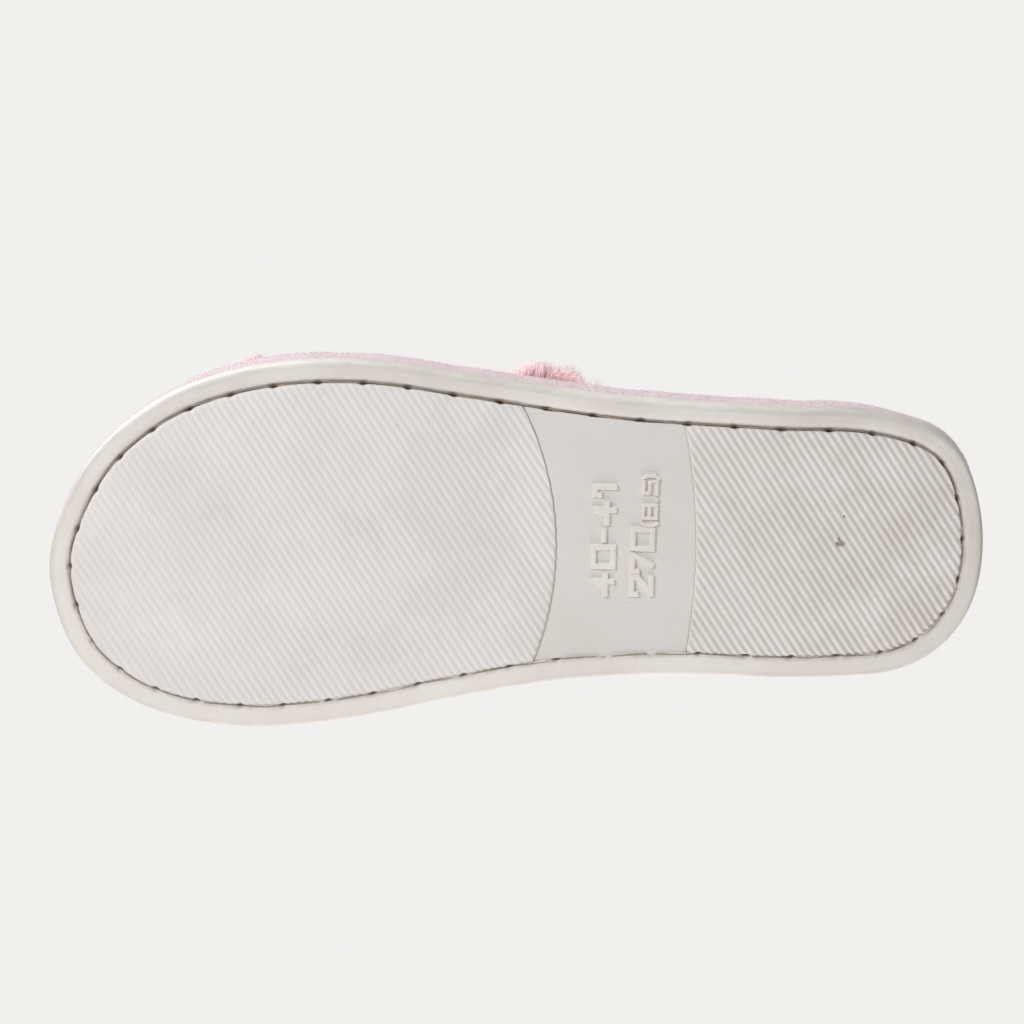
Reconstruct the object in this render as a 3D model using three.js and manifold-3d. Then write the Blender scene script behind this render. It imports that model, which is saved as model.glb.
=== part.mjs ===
// A fluffy open-toe house slipper for the left foot, in millimetres.
//
// Frame: +Z up, the sole stands on z = 0, the toe points to -Y, the little-toe (lateral) side is +X.
// The origin is on the ground under the middle of the slipper.
//
// From the ground up it is a moulded outsole with a stitch groove, a filler, a foam platform inside a
// plush wrap, an insole board, a foam cushion and a plush sock. Two padded bands with long pile cross
// over the foot, and each end of a band stands on the lip of the wrap.
import * as THREE from "three";
import { mergeVertices } from "three/addons/utils/BufferGeometryUtils.js";
import Module from "manifold-3d";

const wasm = await Module();
wasm.setup();

// ---------------------------------------------------------------- driving dimensions
const SOLE_LENGTH = 270;
const BALL_WIDTH = 106.4;
const HEEL_WIDTH = 79;
const GAP = 0.3; // between pieces that touch

const OUTSOLE_HEIGHT = 9; // side wall, from the ground
const OUTSOLE_PLATE = 4.5; // thickness under the foot
const CUP_WALL = 2.4; // side wall thickness above the plate
const EDGE_ROUND = 0.9;
const RIM_WIDTH = 4.7; // from the edge to the stitch groove
const GROOVE_WIDTH = 2.2;
const GROOVE_DEPTH = 2;
const TREAD_MARGIN = 0.7; // plain border between the groove and the ribs
const RIB_PITCH = 2.03;
const RIB_CUT = 1.1; // width of the valley between two ribs
const RIB_DEPTH = 0.6;
const RIB_ANGLE = 33; // degrees, from the length of the sole to the line across the ribs
const SHANK_DEPTH = 0.8; // the plain arch panel lies this far in, deeper than the valleys
const SHANK_FRONT = 0.543; // share of the length, where its front edge bulges furthest back
const SHANK_REAR = 0.693;
const SHANK_FRONT_RADIUS = 92;
const SHANK_REAR_RADIUS = 185;

const THREAD_RADIUS = 0.5; // sole stitching
const SEAM_THREAD_RADIUS = 0.25; // seam along the top edge

const WRAP_THICKNESS = 2;
const WRAP_BULGE = 0.4; // how far the wrap stands out past the outsole
const LIP_RISE = 3.4; // top of the wrap's lip above the insole board
const HEM_WIDTH = 9.3; // the part of the wrap that is turned in under the platform
const HEM_THICKNESS = 1;
const LIP_WIDTH = 3.9; // from the sole's edge to the seam with the sock

const PLATFORM_HEIGHT = 9.9;
const BOARD_THICKNESS = 1.2;
const CUSHION_HEIGHT = 3.6;
const SOCK_THICKNESS = 2.7;
const STITCH_CHANNEL_WIDTH = 1.8; // pressed into the sock by the sole stitching

const BAND_WIDTH_AT_SOLE = 48; // along the length of the sole
const BAND_WIDTH_ON_TOP = 42;
const LINING_THICKNESS = 1;
const BAND_FOAM_THICKNESS = 2.7;
const BINDING_THICKNESS = 1.2;
const PILE_HEIGHT = 6;
const PILE_PRESSED = 3; // under the other band
const BASE_SQUEEZE = 0.42; // share of a band's thickness that is left where it is sewn in
const INSTEP_FRONT = 33; // arch height of the bands, 50 mm behind the toe
const INSTEP_SLOPE = 0.136; // rise of the arch per millimetre towards the heel
const INSTEP_LEAN = 5; // how far the top of the arch leans to the big-toe side
const SIDES_LEAN_IN = { front: 0.24, rear: 0.04 }; // 0 is an ellipse, more leans the sides inwards
const LEAN_FRONT = 80; // millimetres behind the toe where the front value ends
const LEAN_REAR = 150;

// Where the middle of each band's ends stands, in millimetres behind the toe.
const UPPER_BAND = { lateral: 142, medial: 70 };
const LOWER_BAND = { lateral: 76, medial: 135 };

// ---------------------------------------------------------------- heights that follow from them
const hemBottom = OUTSOLE_PLATE + GAP;
const hemTop = hemBottom + HEM_THICKNESS;
const platformBottom = hemTop + GAP;
const platformTop = platformBottom + PLATFORM_HEIGHT;
const boardBottom = platformTop + GAP;
const boardTop = boardBottom + BOARD_THICKNESS;
const cushionBottom = boardTop + GAP;
const cushionTop = cushionBottom + CUSHION_HEIGHT;
const sockTop = cushionTop + GAP + SOCK_THICKNESS;
const wrapTop = boardTop + LIP_RISE;
const bandBase = wrapTop + GAP;
const stitchInset = RIM_WIDTH + GROOVE_WIDTH / 2;
const treadInset = RIM_WIDTH + GROOVE_WIDTH;
const wrapInCup = CUP_WALL + GAP; // inset of the wrap's outer face inside the outsole's cup
const platformInCup = wrapInCup + WRAP_THICKNESS + GAP;
const wrapStep = OUTSOLE_HEIGHT + GAP + 0.1; // underside of the wrap where it leaves the cup
const sockEdge = LIP_WIDTH + GAP;

// ---------------------------------------------------------------- the outline of the sole
// Each point is [share of the length from the toe, share of half the width there, lateral is +].
const OUTLINE = [
  [0, -0.13],
  [0.017, 0.19],
  [0.057, 0.52],
  [0.133, 0.81],
  [0.23, 0.96],
  [0.34, 0.985],
  [0.474, 0.893],
  [0.611, 0.921],
  [0.77, 0.987],
  [0.9, 0.932],
  [0.97, 0.709],
  [1, 0.076],
  [0.983, -0.557],
  [0.926, -0.919],
  [0.822, -1.01],
  [0.667, -0.925],
  [0.548, -0.816],
  [0.437, -0.861],
  [0.3185, -0.981],
  [0.2, -1.022],
  [0.096, -0.902],
  [0.028, -0.62],
];
const WAIST = [0.45, 0.75]; // the half width goes over from ball to heel between these shares
const OUTLINE_STEPS = 84;

const smooth = (t) => THREE.MathUtils.smoothstep(t, 0, 1);

function halfWidth(share) {
  const t = smooth((share - WAIST[0]) / (WAIST[1] - WAIST[0]));
  return THREE.MathUtils.lerp(BALL_WIDTH, HEEL_WIDTH, t) / 2;
}

const outlineCurve = new THREE.CatmullRomCurve3(
  OUTLINE.map(([s, w]) => new THREE.Vector3(w * halfWidth(s), (s - 0.5) * SOLE_LENGTH, 0)),
  true,
  "centripetal",
);

// Points of the outline at even spacing, each with its outward normal.
const outline = outlineCurve.getSpacedPoints(OUTLINE_STEPS).slice(0, OUTLINE_STEPS);
const normals = outline.map((_, i) => {
  const before = outline[(i + OUTLINE_STEPS - 1) % OUTLINE_STEPS];
  const after = outline[(i + 1) % OUTLINE_STEPS];
  const along = after.clone().sub(before).normalize();
  return new THREE.Vector3(along.y, -along.x, 0);
});

// The outline moved in by inset, as 3-D points at height z.
const ringAt = (inset, z) =>
  outline.map((p, i) => p.clone().addScaledVector(normals[i], -inset).setZ(z));

// Distance from the middle line to the edge on one side (+1 lateral, -1 medial), at y.
function edgeAt(side, y) {
  for (let i = 0; i < OUTLINE_STEPS; i++) {
    const a = outline[i];
    const b = outline[(i + 1) % OUTLINE_STEPS];
    if (a.x * side > 0 && b.x * side > 0 && (a.y - y) * (b.y - y) <= 0 && a.y !== b.y) {
      return Math.abs(THREE.MathUtils.lerp(a.x, b.x, (y - a.y) / (b.y - a.y)));
    }
  }
  throw new Error(`the outline has no edge at y = ${y}`);
}

// ---------------------------------------------------------------- making solids
// Joins rings of points, each as long as the others, into one skin that faces outwards. The first
// few quads of each ring, up to turned, are split along their other diagonal.
function skin(rings, closed, turned = 0) {
  const size = rings[0].length;
  const points = rings.flat();
  const faces = [];
  const last = closed ? rings.length : rings.length - 1;
  for (let r = 0; r < last; r++) {
    const next = (r + 1) % rings.length;
    for (let i = 0; i < size; i++) {
      const j = (i + 1) % size;
      const corners = [r * size + i, r * size + j, next * size + j, next * size + i];
      const [a, b, c, d] = i < turned ? [...corners.slice(1), corners[0]] : corners;
      faces.push(a, b, c, a, c, d);
    }
  }
  if (!closed) {
    capRing(rings[0], 0, false, faces);
    capRing(rings.at(-1), (rings.length - 1) * size, true, faces);
  }
  return solid(points, faces);
}

// Fills a flat end ring, laid out in its own plane.
function capRing(ring, first, facingOn, faces) {
  const middle = ring.reduce((sum, p) => sum.add(p), new THREE.Vector3()).divideScalar(ring.length);
  const normal = new THREE.Vector3();
  ring.forEach((p, i) => {
    const q = ring[(i + 1) % ring.length];
    normal.add(p.clone().sub(middle).cross(q.clone().sub(middle)));
  });
  normal.normalize();
  const across = ring[0].clone().sub(middle).normalize();
  const up = normal.clone().cross(across);
  const flat = ring.map((p) => {
    const d = p.clone().sub(middle);
    return new THREE.Vector2(d.dot(across), d.dot(up));
  });
  for (const [a, b, c] of THREE.ShapeUtils.triangulateShape(flat, [])) {
    faces.push(...(facingOn ? [a, b, c] : [a, c, b]).map((k) => first + k));
  }
}

function solid(points, faces) {
  const made = new wasm.Manifold(
    new wasm.Mesh({
      numProp: 3,
      vertProperties: new Float32Array(points.flatMap((p) => [p.x, p.y, p.z])),
      triVerts: new Uint32Array(faces),
    }),
  );
  return made;
}

function solidOf(geometry) {
  const bare = geometry.clone().deleteAttribute("normal").deleteAttribute("uv");
  const merged = mergeVertices(bare, 1e-4);
  return new wasm.Manifold(
    new wasm.Mesh({
      numProp: 3,
      vertProperties: merged.attributes.position.array,
      triVerts: new Uint32Array(merged.index.array),
    }),
  );
}

function geometryOf(made) {
  const mesh = made.getMesh();
  const positions = new Float32Array(mesh.numVert * 3);
  for (let i = 0; i < mesh.numVert; i++) {
    positions.set(mesh.vertProperties.subarray(i * mesh.numProp, i * mesh.numProp + 3), i * 3);
  }
  const geometry = new THREE.BufferGeometry();
  geometry.setAttribute("position", new THREE.BufferAttribute(positions, 3));
  geometry.setIndex(new THREE.BufferAttribute(mesh.triVerts, 1));
  geometry.computeVertexNormals();
  return geometry;
}

// A solid whose side follows the outline: levels are [inset, z], from its underside to its top.
const stack = (levels) => skin(levels.map(([inset, z]) => ringAt(inset, z)), false);

// A hoop whose section is the closed profile [inset, z], which runs upwards on its outer side.
const hoop = (profile) => skin(profile.map(([inset, z]) => ringAt(inset, z)), true);

function threadHoop(inset, z, radius, sides) {
  const profile = [];
  for (let k = 0; k < sides; k++) {
    const angle = (2 * Math.PI * k) / sides;
    profile.push([inset - radius * Math.sin(angle), z - radius * Math.cos(angle)]);
  }
  return hoop(profile);
}

const group = new THREE.Group();

function add(name, made, colour, roughness) {
  const material = new THREE.MeshStandardMaterial({ color: colour, roughness, metalness: 0 });
  const mesh = new THREE.Mesh(geometryOf(made), material);
  mesh.name = name;
  group.add(mesh);
}

// ---------------------------------------------------------------- outsole
// A disc whose edge is one of the two arcs that bound the arch panel, bulging to the heel.
function arcDisc(share, radius) {
  const disc = new THREE.CylinderGeometry(radius, radius, 4, 128);
  disc.rotateX(Math.PI / 2);
  disc.translate(0, (share - 0.5) * SOLE_LENGTH - radius, 0);
  return solidOf(disc);
}

// The valleys between the ribs, as long V-shaped bars.
function ribValleys() {
  const reach = SOLE_LENGTH;
  const section = new THREE.Shape([
    new THREE.Vector2(-RIB_CUT / 2, -0.5),
    new THREE.Vector2(RIB_CUT / 2, -0.5),
    new THREE.Vector2(RIB_CUT / 2, 0),
    new THREE.Vector2(RIB_CUT / 5, RIB_DEPTH),
    new THREE.Vector2(-RIB_CUT / 5, RIB_DEPTH),
    new THREE.Vector2(-RIB_CUT / 2, 0),
  ]);
  const count = Math.ceil(SOLE_LENGTH / RIB_PITCH / 2) + 6;
  const bars = [];
  for (let k = -count; k <= count; k++) {
    const bar = new THREE.ExtrudeGeometry(section, { depth: reach, bevelEnabled: false });
    bar.translate(k * RIB_PITCH, 0, -reach / 2);
    bar.rotateX(Math.PI / 2); // the section's height now points up, its length along the ribs
    bar.rotateZ(THREE.MathUtils.degToRad(90 - RIB_ANGLE));
    bars.push(solidOf(bar));
  }
  return wasm.Manifold.union(bars);
}

function outsole() {
  const body = stack([
    [EDGE_ROUND, 0],
    [EDGE_ROUND / 3, EDGE_ROUND / 3],
    [0, EDGE_ROUND],
    [0, OUTSOLE_HEIGHT - EDGE_ROUND / 3],
    [EDGE_ROUND / 3, OUTSOLE_HEIGHT],
  ]);
  const cup = stack([
    [CUP_WALL, OUTSOLE_PLATE],
    [CUP_WALL, OUTSOLE_HEIGHT + 1],
  ]);
  const groove = hoop([
    [RIM_WIDTH, -1],
    [RIM_WIDTH, GROOVE_DEPTH],
    [treadInset, GROOVE_DEPTH],
    [treadInset, -1],
  ]);
  const tread = stack([
    [treadInset + TREAD_MARGIN, -2],
    [treadInset + TREAD_MARGIN, 1.5],
  ]);
  const toShankFront = arcDisc(SHANK_FRONT, SHANK_FRONT_RADIUS);
  const toShankRear = arcDisc(SHANK_REAR, SHANK_REAR_RADIUS);
  const shank = stack([
    [treadInset, -2],
    [treadInset, SHANK_DEPTH],
  ]).intersect(toShankRear).subtract(toShankFront);
  const valleys = ribValleys().intersect(tread);
  const cut = body.subtract(cup).subtract(groove).subtract(shank).subtract(valleys);
  return cut.simplify(0.01); // slivers shorter than this go
}

add("outsole", outsole(), 0xe2dfda, 0.6);
add(
  "sole_needle_thread",
  threadHoop(stitchInset, GROOVE_DEPTH - GAP - THREAD_RADIUS, THREAD_RADIUS, 6),
  0xd9d4c8,
  0.7,
);

// ---------------------------------------------------------------- inside the sole
const fillerInset = wrapInCup + HEM_WIDTH + GAP;
add("bottom_filler", stack([[fillerInset, hemBottom], [fillerInset, hemTop]]), 0xbfb7a8, 0.95);

// Platform: narrow inside the outsole's cup, then it steps out over the cup's wall.
const wrapInner = WRAP_THICKNESS - WRAP_BULGE;
const platformStep = wrapStep + WRAP_THICKNESS + GAP;
add(
  "platform",
  stack([
    [platformInCup, platformBottom],
    [platformInCup, platformStep],
    [wrapInner + GAP, platformStep],
    [wrapInner + GAP, platformTop],
  ]),
  0xf1efe9,
  0.9,
);

const boardInset = wrapInner + 1;
add("insole_board", stack([[boardInset, boardBottom], [boardInset, boardTop]]), 0xa98f6d, 0.9);

// Wrap: hem under the platform, up inside the cup, out over its wall, up the side and in to the lip.
add(
  "platform_wrap",
  hoop([
    [wrapInCup + HEM_WIDTH, hemBottom],
    [wrapInCup, hemBottom],
    [wrapInCup, wrapStep],
    [0, wrapStep],
    [-WRAP_BULGE, wrapStep + 1.5],
    [-WRAP_BULGE, wrapTop - 5],
    [0.3, wrapTop - 2],
    [1.5, wrapTop - 0.4],
    [LIP_WIDTH, wrapTop],
    [LIP_WIDTH, wrapTop - WRAP_THICKNESS],
    [2.6, wrapTop - WRAP_THICKNESS - 0.3],
    [wrapInner + 0.3, boardTop],
    [wrapInner, boardBottom],
    [wrapInner, wrapStep + WRAP_THICKNESS],
    [wrapInCup + WRAP_THICKNESS, wrapStep + WRAP_THICKNESS],
    [wrapInCup + WRAP_THICKNESS, hemTop],
    [wrapInCup + HEM_WIDTH, hemTop],
  ]),
  0xe7cdd3,
  0.95,
);

add(
  "top_edge_seam_thread",
  threadHoop(3.4, boardTop + 0.65, SEAM_THREAD_RADIUS, 4),
  0xe3c3ca,
  0.7,
);

// ---------------------------------------------------------------- footbed
const channelFloor = wrapTop - 0.1;
const channelEnd = stitchInset + STITCH_CHANNEL_WIDTH / 2;
const sockUnder = boardTop + 0.8;
add(
  "cushion_foam",
  stack([
    [channelEnd + 1.1, cushionBottom],
    [channelEnd + 1.1, sockUnder - 0.2],
    [channelEnd + 2.1, cushionTop - 0.9],
    [channelEnd + 4.8, cushionTop],
  ]),
  0xf3e9b8,
  0.95,
);
add(
  "sock_cover",
  stack([
    [channelEnd + 4.4, cushionTop + GAP],
    [channelEnd + 1.5, cushionTop - 0.6],
    [channelEnd + 0.6, sockUnder],
    [sockEdge, sockUnder],
    [sockEdge, channelFloor - 0.7],
    [sockEdge + 0.7, channelFloor],
    [channelEnd, channelFloor],
    [channelEnd + 1.4, channelFloor + 2.1],
    [channelEnd + 3.8, sockTop - 0.3],
    [channelEnd + 7.5, sockTop],
  ]),
  0xf0d6da,
  0.98,
);
add(
  "sole_bobbin_thread",
  threadHoop(stitchInset, channelFloor + GAP + THREAD_RADIUS, THREAD_RADIUS, 6),
  0xe9cfd3,
  0.7,
);

// ---------------------------------------------------------------- bands
const CROSSING_MARGIN = 6; // how far past a band's edge the other one keeps its crossing height
const CROSSING_RAMP = 24; // length over which it then comes back
const THICK_FROM = 0.75; // angle up from the sole where a band reaches its whole thickness
const ARCH_STEPS = 26;
const ACROSS_STEPS = 6;

// Levels through a band, as [cloth and foam so far, gaps so far]: the gaps are never squeezed.
const LINING_IN = [0, 0];
const LINING_OUT = [LINING_THICKNESS, 0];
const FOAM_IN = [LINING_THICKNESS, 1];
const FOAM_OUT = [LINING_THICKNESS + BAND_FOAM_THICKNESS, 1];
const PILE_IN = [LINING_THICKNESS + BAND_FOAM_THICKNESS, 2];
const PILE_OUT = [LINING_THICKNESS + BAND_FOAM_THICKNESS + PILE_HEIGHT, 2];
const crossingRise = PILE_IN[0] + PILE_PRESSED + 4 * GAP;

// The inside of the arch, at angle from the lateral base (0) to the medial base (pi), at y.
function archPoint(angle, y) {
  const toe = y + SOLE_LENGTH / 2;
  const lateral = edgeAt(1, y) - LIP_WIDTH;
  const medial = edgeAt(-1, y) - LIP_WIDTH;
  const half = (lateral + medial) / 2;
  const height = INSTEP_FRONT + INSTEP_SLOPE * (toe - 50);
  const rearward = smooth((toe - LEAN_FRONT) / (LEAN_REAR - LEAN_FRONT));
  const lean = THREE.MathUtils.lerp(SIDES_LEAN_IN.front, SIDES_LEAN_IN.rear, rearward);
  const up = Math.sin(angle);
  const x = (lateral - medial) / 2 + half * Math.cos(angle) * (1 - lean * up) - INSTEP_LEAN * up;
  return new THREE.Vector3(x, y, bandBase + height * up);
}

function archNormal(angle, y) {
  const step = 0.01;
  const low = Math.max(angle - step, 0);
  const high = Math.min(angle + step, Math.PI);
  const round = archPoint(high, y).sub(archPoint(low, y));
  const along = archPoint(angle, y + 1).sub(archPoint(angle, y - 1));
  const normal = along.cross(round).normalize();
  normal.z *= smooth(Math.min(angle, Math.PI - angle) / 0.3); // at the sole a band stands upright
  return normal.normalize();
}

// The middle of a band, as y, at an angle round the arch.
function bandMiddle(band, angle) {
  const share = (1 - Math.cos(angle)) / 2;
  return THREE.MathUtils.lerp(band.lateral, band.medial, share) - SOLE_LENGTH / 2;
}

const bandWidth = (angle) =>
  THREE.MathUtils.lerp(BAND_WIDTH_AT_SOLE, BAND_WIDTH_ON_TOP, Math.sin(angle));

// 1 where the point at this angle and y meets the band, falling to 0 beside it and at the sole.
function onBand(band, angle, y) {
  const past = Math.abs(y - bandMiddle(band, angle)) - bandWidth(angle) / 2 - CROSSING_MARGIN;
  const aboveSole = smooth((Math.min(angle, Math.PI - angle) - 0.15) / 0.45);
  return smooth(1 - past / CROSSING_RAMP) * aboveSole;
}

// A point of a band: angle round the arch, across from its middle, at one of the levels.
function bandPoint(band, angle, across, [stuff, gaps]) {
  const y = bandMiddle(band, angle) + across;
  const nearSole = smooth(Math.min(angle, Math.PI - angle) / THICK_FROM);
  const squeeze = THREE.MathUtils.lerp(BASE_SQUEEZE, 1, nearSole);
  let thick = stuff;
  let rise = 0;
  if (band === UPPER_BAND) {
    rise = crossingRise * onBand(LOWER_BAND, angle, y);
  } else if (stuff > PILE_IN[0]) {
    thick = THREE.MathUtils.lerp(stuff, PILE_IN[0] + PILE_PRESSED, onBand(UPPER_BAND, angle, y));
  }
  const out = thick * squeeze + gaps * GAP + rise;
  return archPoint(angle, y).addScaledVector(archNormal(angle, y), out);
}

// Places across a band that all its layers share, so that they follow one another closely.
function acrossBand(width) {
  const edge = width / 2;
  const inner = edge - BINDING_THICKNESS - GAP;
  const places = [-edge, -edge + BINDING_THICKNESS];
  for (let k = 0; k <= ACROSS_STEPS; k++) {
    places.push(THREE.MathUtils.lerp(-inner, inner, k / ACROSS_STEPS));
  }
  places.push(edge - BINDING_THICKNESS, edge);
  return places;
}

// One layer of a band, from the first to the last of those places, between two levels.
function bandLayer(band, first, last, inner, outer) {
  const rings = [];
  for (let s = 0; s <= ARCH_STEPS; s++) {
    const angle = (Math.PI * s) / ARCH_STEPS;
    const places = acrossBand(bandWidth(angle)).slice(first, last);
    rings.push([
      ...places.map((across) => bandPoint(band, angle, across, inner)).reverse(),
      ...places.map((across) => bandPoint(band, angle, across, outer)),
    ]);
  }
  return skin(rings, false, rings[0].length / 2);
}

const CLOTH = [2, -2]; // between the bindings
const WHOLE = [0, undefined];
const FRONT = [0, 2];
const REAR = [-2, undefined];

for (const [name, band] of [
  ["upper_band", UPPER_BAND],
  ["lower_band", LOWER_BAND],
]) {
  add(`${name}_lining`, bandLayer(band, ...CLOTH, LINING_IN, LINING_OUT), 0xf2dadd, 0.95);
  add(`${name}_foam`, bandLayer(band, ...CLOTH, FOAM_IN, FOAM_OUT), 0xf6f1df, 0.9);
  add(`${name}_pile_shell`, bandLayer(band, ...WHOLE, PILE_IN, PILE_OUT), 0xf0c9cf, 1);
  add(`${name}_front_binding`, bandLayer(band, ...FRONT, LINING_IN, FOAM_OUT), 0xe9bfc7, 0.9);
  add(`${name}_rear_binding`, bandLayer(band, ...REAR, LINING_IN, FOAM_OUT), 0xe9bfc7, 0.9);
}

// The origin goes under the middle of the whole slipper.
const extent = new THREE.Box3().setFromObject(group);
const centre = extent.getCenter(new THREE.Vector3());
group.position.set(-centre.x, -centre.y, 0);

export default group;
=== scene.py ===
# %% [markdown]
# # A fluffy house slipper, seen from under its sole
# The slipper is a left one: a ribbed, stitched rubber sole, a foam platform in a plush wrap, a soft
# footbed and two padded bands of long pile that cross over the foot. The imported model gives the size
# and place of every part. This script gives each part the surface that the real one has.

import bpy
import numpy as np
from mathutils import Matrix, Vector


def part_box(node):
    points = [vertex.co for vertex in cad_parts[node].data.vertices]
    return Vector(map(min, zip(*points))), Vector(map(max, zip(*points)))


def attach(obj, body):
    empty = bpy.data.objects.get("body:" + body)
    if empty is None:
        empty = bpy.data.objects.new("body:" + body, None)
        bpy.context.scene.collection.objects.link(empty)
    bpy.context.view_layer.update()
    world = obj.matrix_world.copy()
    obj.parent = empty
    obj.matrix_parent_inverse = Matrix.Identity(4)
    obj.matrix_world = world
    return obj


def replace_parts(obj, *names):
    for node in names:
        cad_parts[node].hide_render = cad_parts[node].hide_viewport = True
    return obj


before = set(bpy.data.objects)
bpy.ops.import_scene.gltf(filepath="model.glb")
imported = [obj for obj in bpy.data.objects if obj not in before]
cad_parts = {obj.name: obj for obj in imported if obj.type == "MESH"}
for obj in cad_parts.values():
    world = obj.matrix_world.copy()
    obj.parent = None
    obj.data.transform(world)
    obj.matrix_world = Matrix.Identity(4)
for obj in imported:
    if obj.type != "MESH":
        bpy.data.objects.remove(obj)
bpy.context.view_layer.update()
MM = 0.001
print("parts in the frame:", ", ".join(sorted(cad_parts)))

# %% [markdown]
# The lengths below are in millimetres, because that is how a shoemaker thinks of them. They become
# metres only when a mesh is made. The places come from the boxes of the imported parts.

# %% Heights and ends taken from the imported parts


def box_mm(node):
    """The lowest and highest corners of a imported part, in millimetres."""
    return [np.array(corner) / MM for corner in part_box(node)]


sole_low, sole_high = box_mm("outsole")
TOE_Y = sole_low[1]
SOLE_LENGTH = sole_high[1] - sole_low[1]
SOLE_TOP = sole_high[2]
WRAP_TOP = box_mm("platform_wrap")[1][2]
BAND_BASE = box_mm("upper_band_lining")[0][2]
print(f"sole {SOLE_LENGTH:.1f} long, wall to {SOLE_TOP:.1f}, wrap to {WRAP_TOP:.1f}")

# %% [markdown]
# ## Camera, floor and light
# The slipper is looked at from below, so the camera stands under the floor. The floor only shows its
# upper face: from beneath it is clear and throws no shadow, so the same scene works from every side.
# One lamp rakes over the ribs of the sole, and large soft ones fill in. The lamps under the floor light
# the slipper and not the floor.

# %% Camera
VIEW_TILT = np.radians(11.0)  # towards the little-toe side
VIEW_DISTANCE = 1.5  # metres, as are the next two
FRAME_WIDTH = 0.2954  # metres of the sole's plane across the frame
AIM = np.array([0.0100, -0.0011, 0.0])


def placed(name, data, place, towards, right):
    """Puts an object at place, looking along -towards, with right on its right-hand side."""
    thing = bpy.data.objects.new(name, data)
    bpy.context.scene.collection.objects.link(thing)
    towards = towards / np.linalg.norm(towards)
    upwards = np.cross(towards, right)
    upwards /= np.linalg.norm(upwards)
    turn = np.eye(4)
    turn[:3, :3] = np.stack([np.cross(upwards, towards), upwards, towards], axis=1)
    turn[:3, 3] = place
    thing.matrix_world = Matrix(turn.tolist())
    return thing


view = np.array([np.sin(VIEW_TILT), 0.0, -np.cos(VIEW_TILT)])
station = AIM + view * VIEW_DISTANCE
camera = placed("camera", bpy.data.cameras.new("camera"), station, view, np.array([0.0, 1.0, 0.0]))
camera.data.lens = camera.data.sensor_width * VIEW_DISTANCE / FRAME_WIDTH
bpy.context.scene.camera = camera
bpy.context.scene.view_settings.view_transform = "Standard"
print("camera lens", round(camera.data.lens, 1), "mm")

# %% Helpers that wire up materials


def linear(colour):
    """An sRGB colour, three numbers up to 255, as the linear one that shaders take."""
    c = np.array(colour) / 255.0
    return (*np.where(c <= 0.04045, c / 12.92, ((c + 0.055) / 1.055) ** 2.4), 1.0)


def add_node(tree, kind, *numbered, **named):
    """Adds a shader node. Numbered values go to its inputs in order, and a named one to its attribute
    or input of that name. An input is set to a plain value, and linked when the value is a socket."""
    node = tree.nodes.new("ShaderNode" + kind)
    for key, value in [*enumerate(numbered), *named.items()]:
        if isinstance(key, str) and hasattr(node, key):
            setattr(node, key, value)
            continue
        socket = node.inputs[key.replace("_", " ") if isinstance(key, str) else key]
        if isinstance(value, bpy.types.NodeSocket):
            tree.links.new(value, socket)
        else:
            socket.default_value = value
    return node


def end_in_two(tree, factor, first, second, output):
    """Ends a tree in two shaders: the first where the factor is 0, the second where it is 1."""
    mix = add_node(tree, "MixShader", factor, first.outputs[0], second.outputs[0])
    add_node(tree, output, mix.outputs[0])


# %% World and floor
FLOOR_SIZE = 6.0
FLOOR_DROP = 0.0004
BACKDROP = linear((241, 240, 238))

world = bpy.data.worlds.new("pale_room")
bpy.context.scene.world = world
world.use_nodes = True
tree = world.node_tree
tree.nodes.clear()
felt = add_node(tree, "Background", Color=BACKDROP, Strength=0.5)
seen = add_node(tree, "Background", Color=BACKDROP, Strength=1.0)
end_in_two(tree, add_node(tree, "LightPath").outputs["Is Camera Ray"], felt, seen, "OutputWorld")

floor_mesh = bpy.data.meshes.new("floor")
corners = np.array([(-1, -1), (1, -1), (1, 1), (-1, 1)]) * FLOOR_SIZE / 2
floor_mesh.from_pydata([(x, y, -FLOOR_DROP) for x, y in corners], [], [(0, 1, 2, 3)])
floor = bpy.data.objects.new("floor", floor_mesh)
bpy.context.scene.collection.objects.link(floor)
floor.visible_shadow = floor.visible_diffuse = floor.visible_glossy = floor.visible_transmission = False
floor_paint = bpy.data.materials.new("floor_paint")
floor_paint.use_nodes = True
tree = floor_paint.node_tree
tree.nodes.clear()
paint = add_node(tree, "BsdfDiffuse", Color=linear((226, 225, 223)))
clear = add_node(tree, "BsdfTransparent")
end_in_two(tree, add_node(tree, "NewGeometry").outputs["Backfacing"], paint, clear, "OutputMaterial")
floor_mesh.materials.append(floor_paint)

# %% Lamps
not_floor = bpy.data.collections.new("not_lit_from_below")
not_floor.objects.link(floor)
not_floor.collection_objects[0].light_linking.link_state = "EXCLUDE"


def lamp(name, place, size, watts, colour=(1.0, 1.0, 1.0)):
    """A square area lamp at place, in metres, that faces the slipper. A lamp under the floor leaves the
    floor dark, because its upper half may rise past the floor and would burn it out."""
    data = bpy.data.lights.new(name, "AREA")
    data.shape = "SQUARE"
    data.size = size
    data.energy = watts
    data.color = colour
    place = np.array(place, float)
    thing = placed(name, data, place, place, np.array([0.31, 0.95, 0.1]))
    if place[2] < 0:
        thing.light_linking.receiver_collection = not_floor


lamp("rake_under", (0.53, -0.57, -0.55), 0.25, 4.8)
lamp("warm_under", (-0.72, 0.1, -0.15), 0.5, 4.2, (1.0, 0.97, 0.95))
lamp("side_under", (0.8, 0.0, -0.03), 0.4, 1.7)
lamp("soft_under", (-0.35, 0.05, -1.2), 1.1, 0.85)
lamp("soft_above", (0.5, -0.7, 1.3), 1.1, 17.0)
lamp("fill_above", (-0.8, 0.6, 0.9), 0.9, 6.0)

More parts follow.
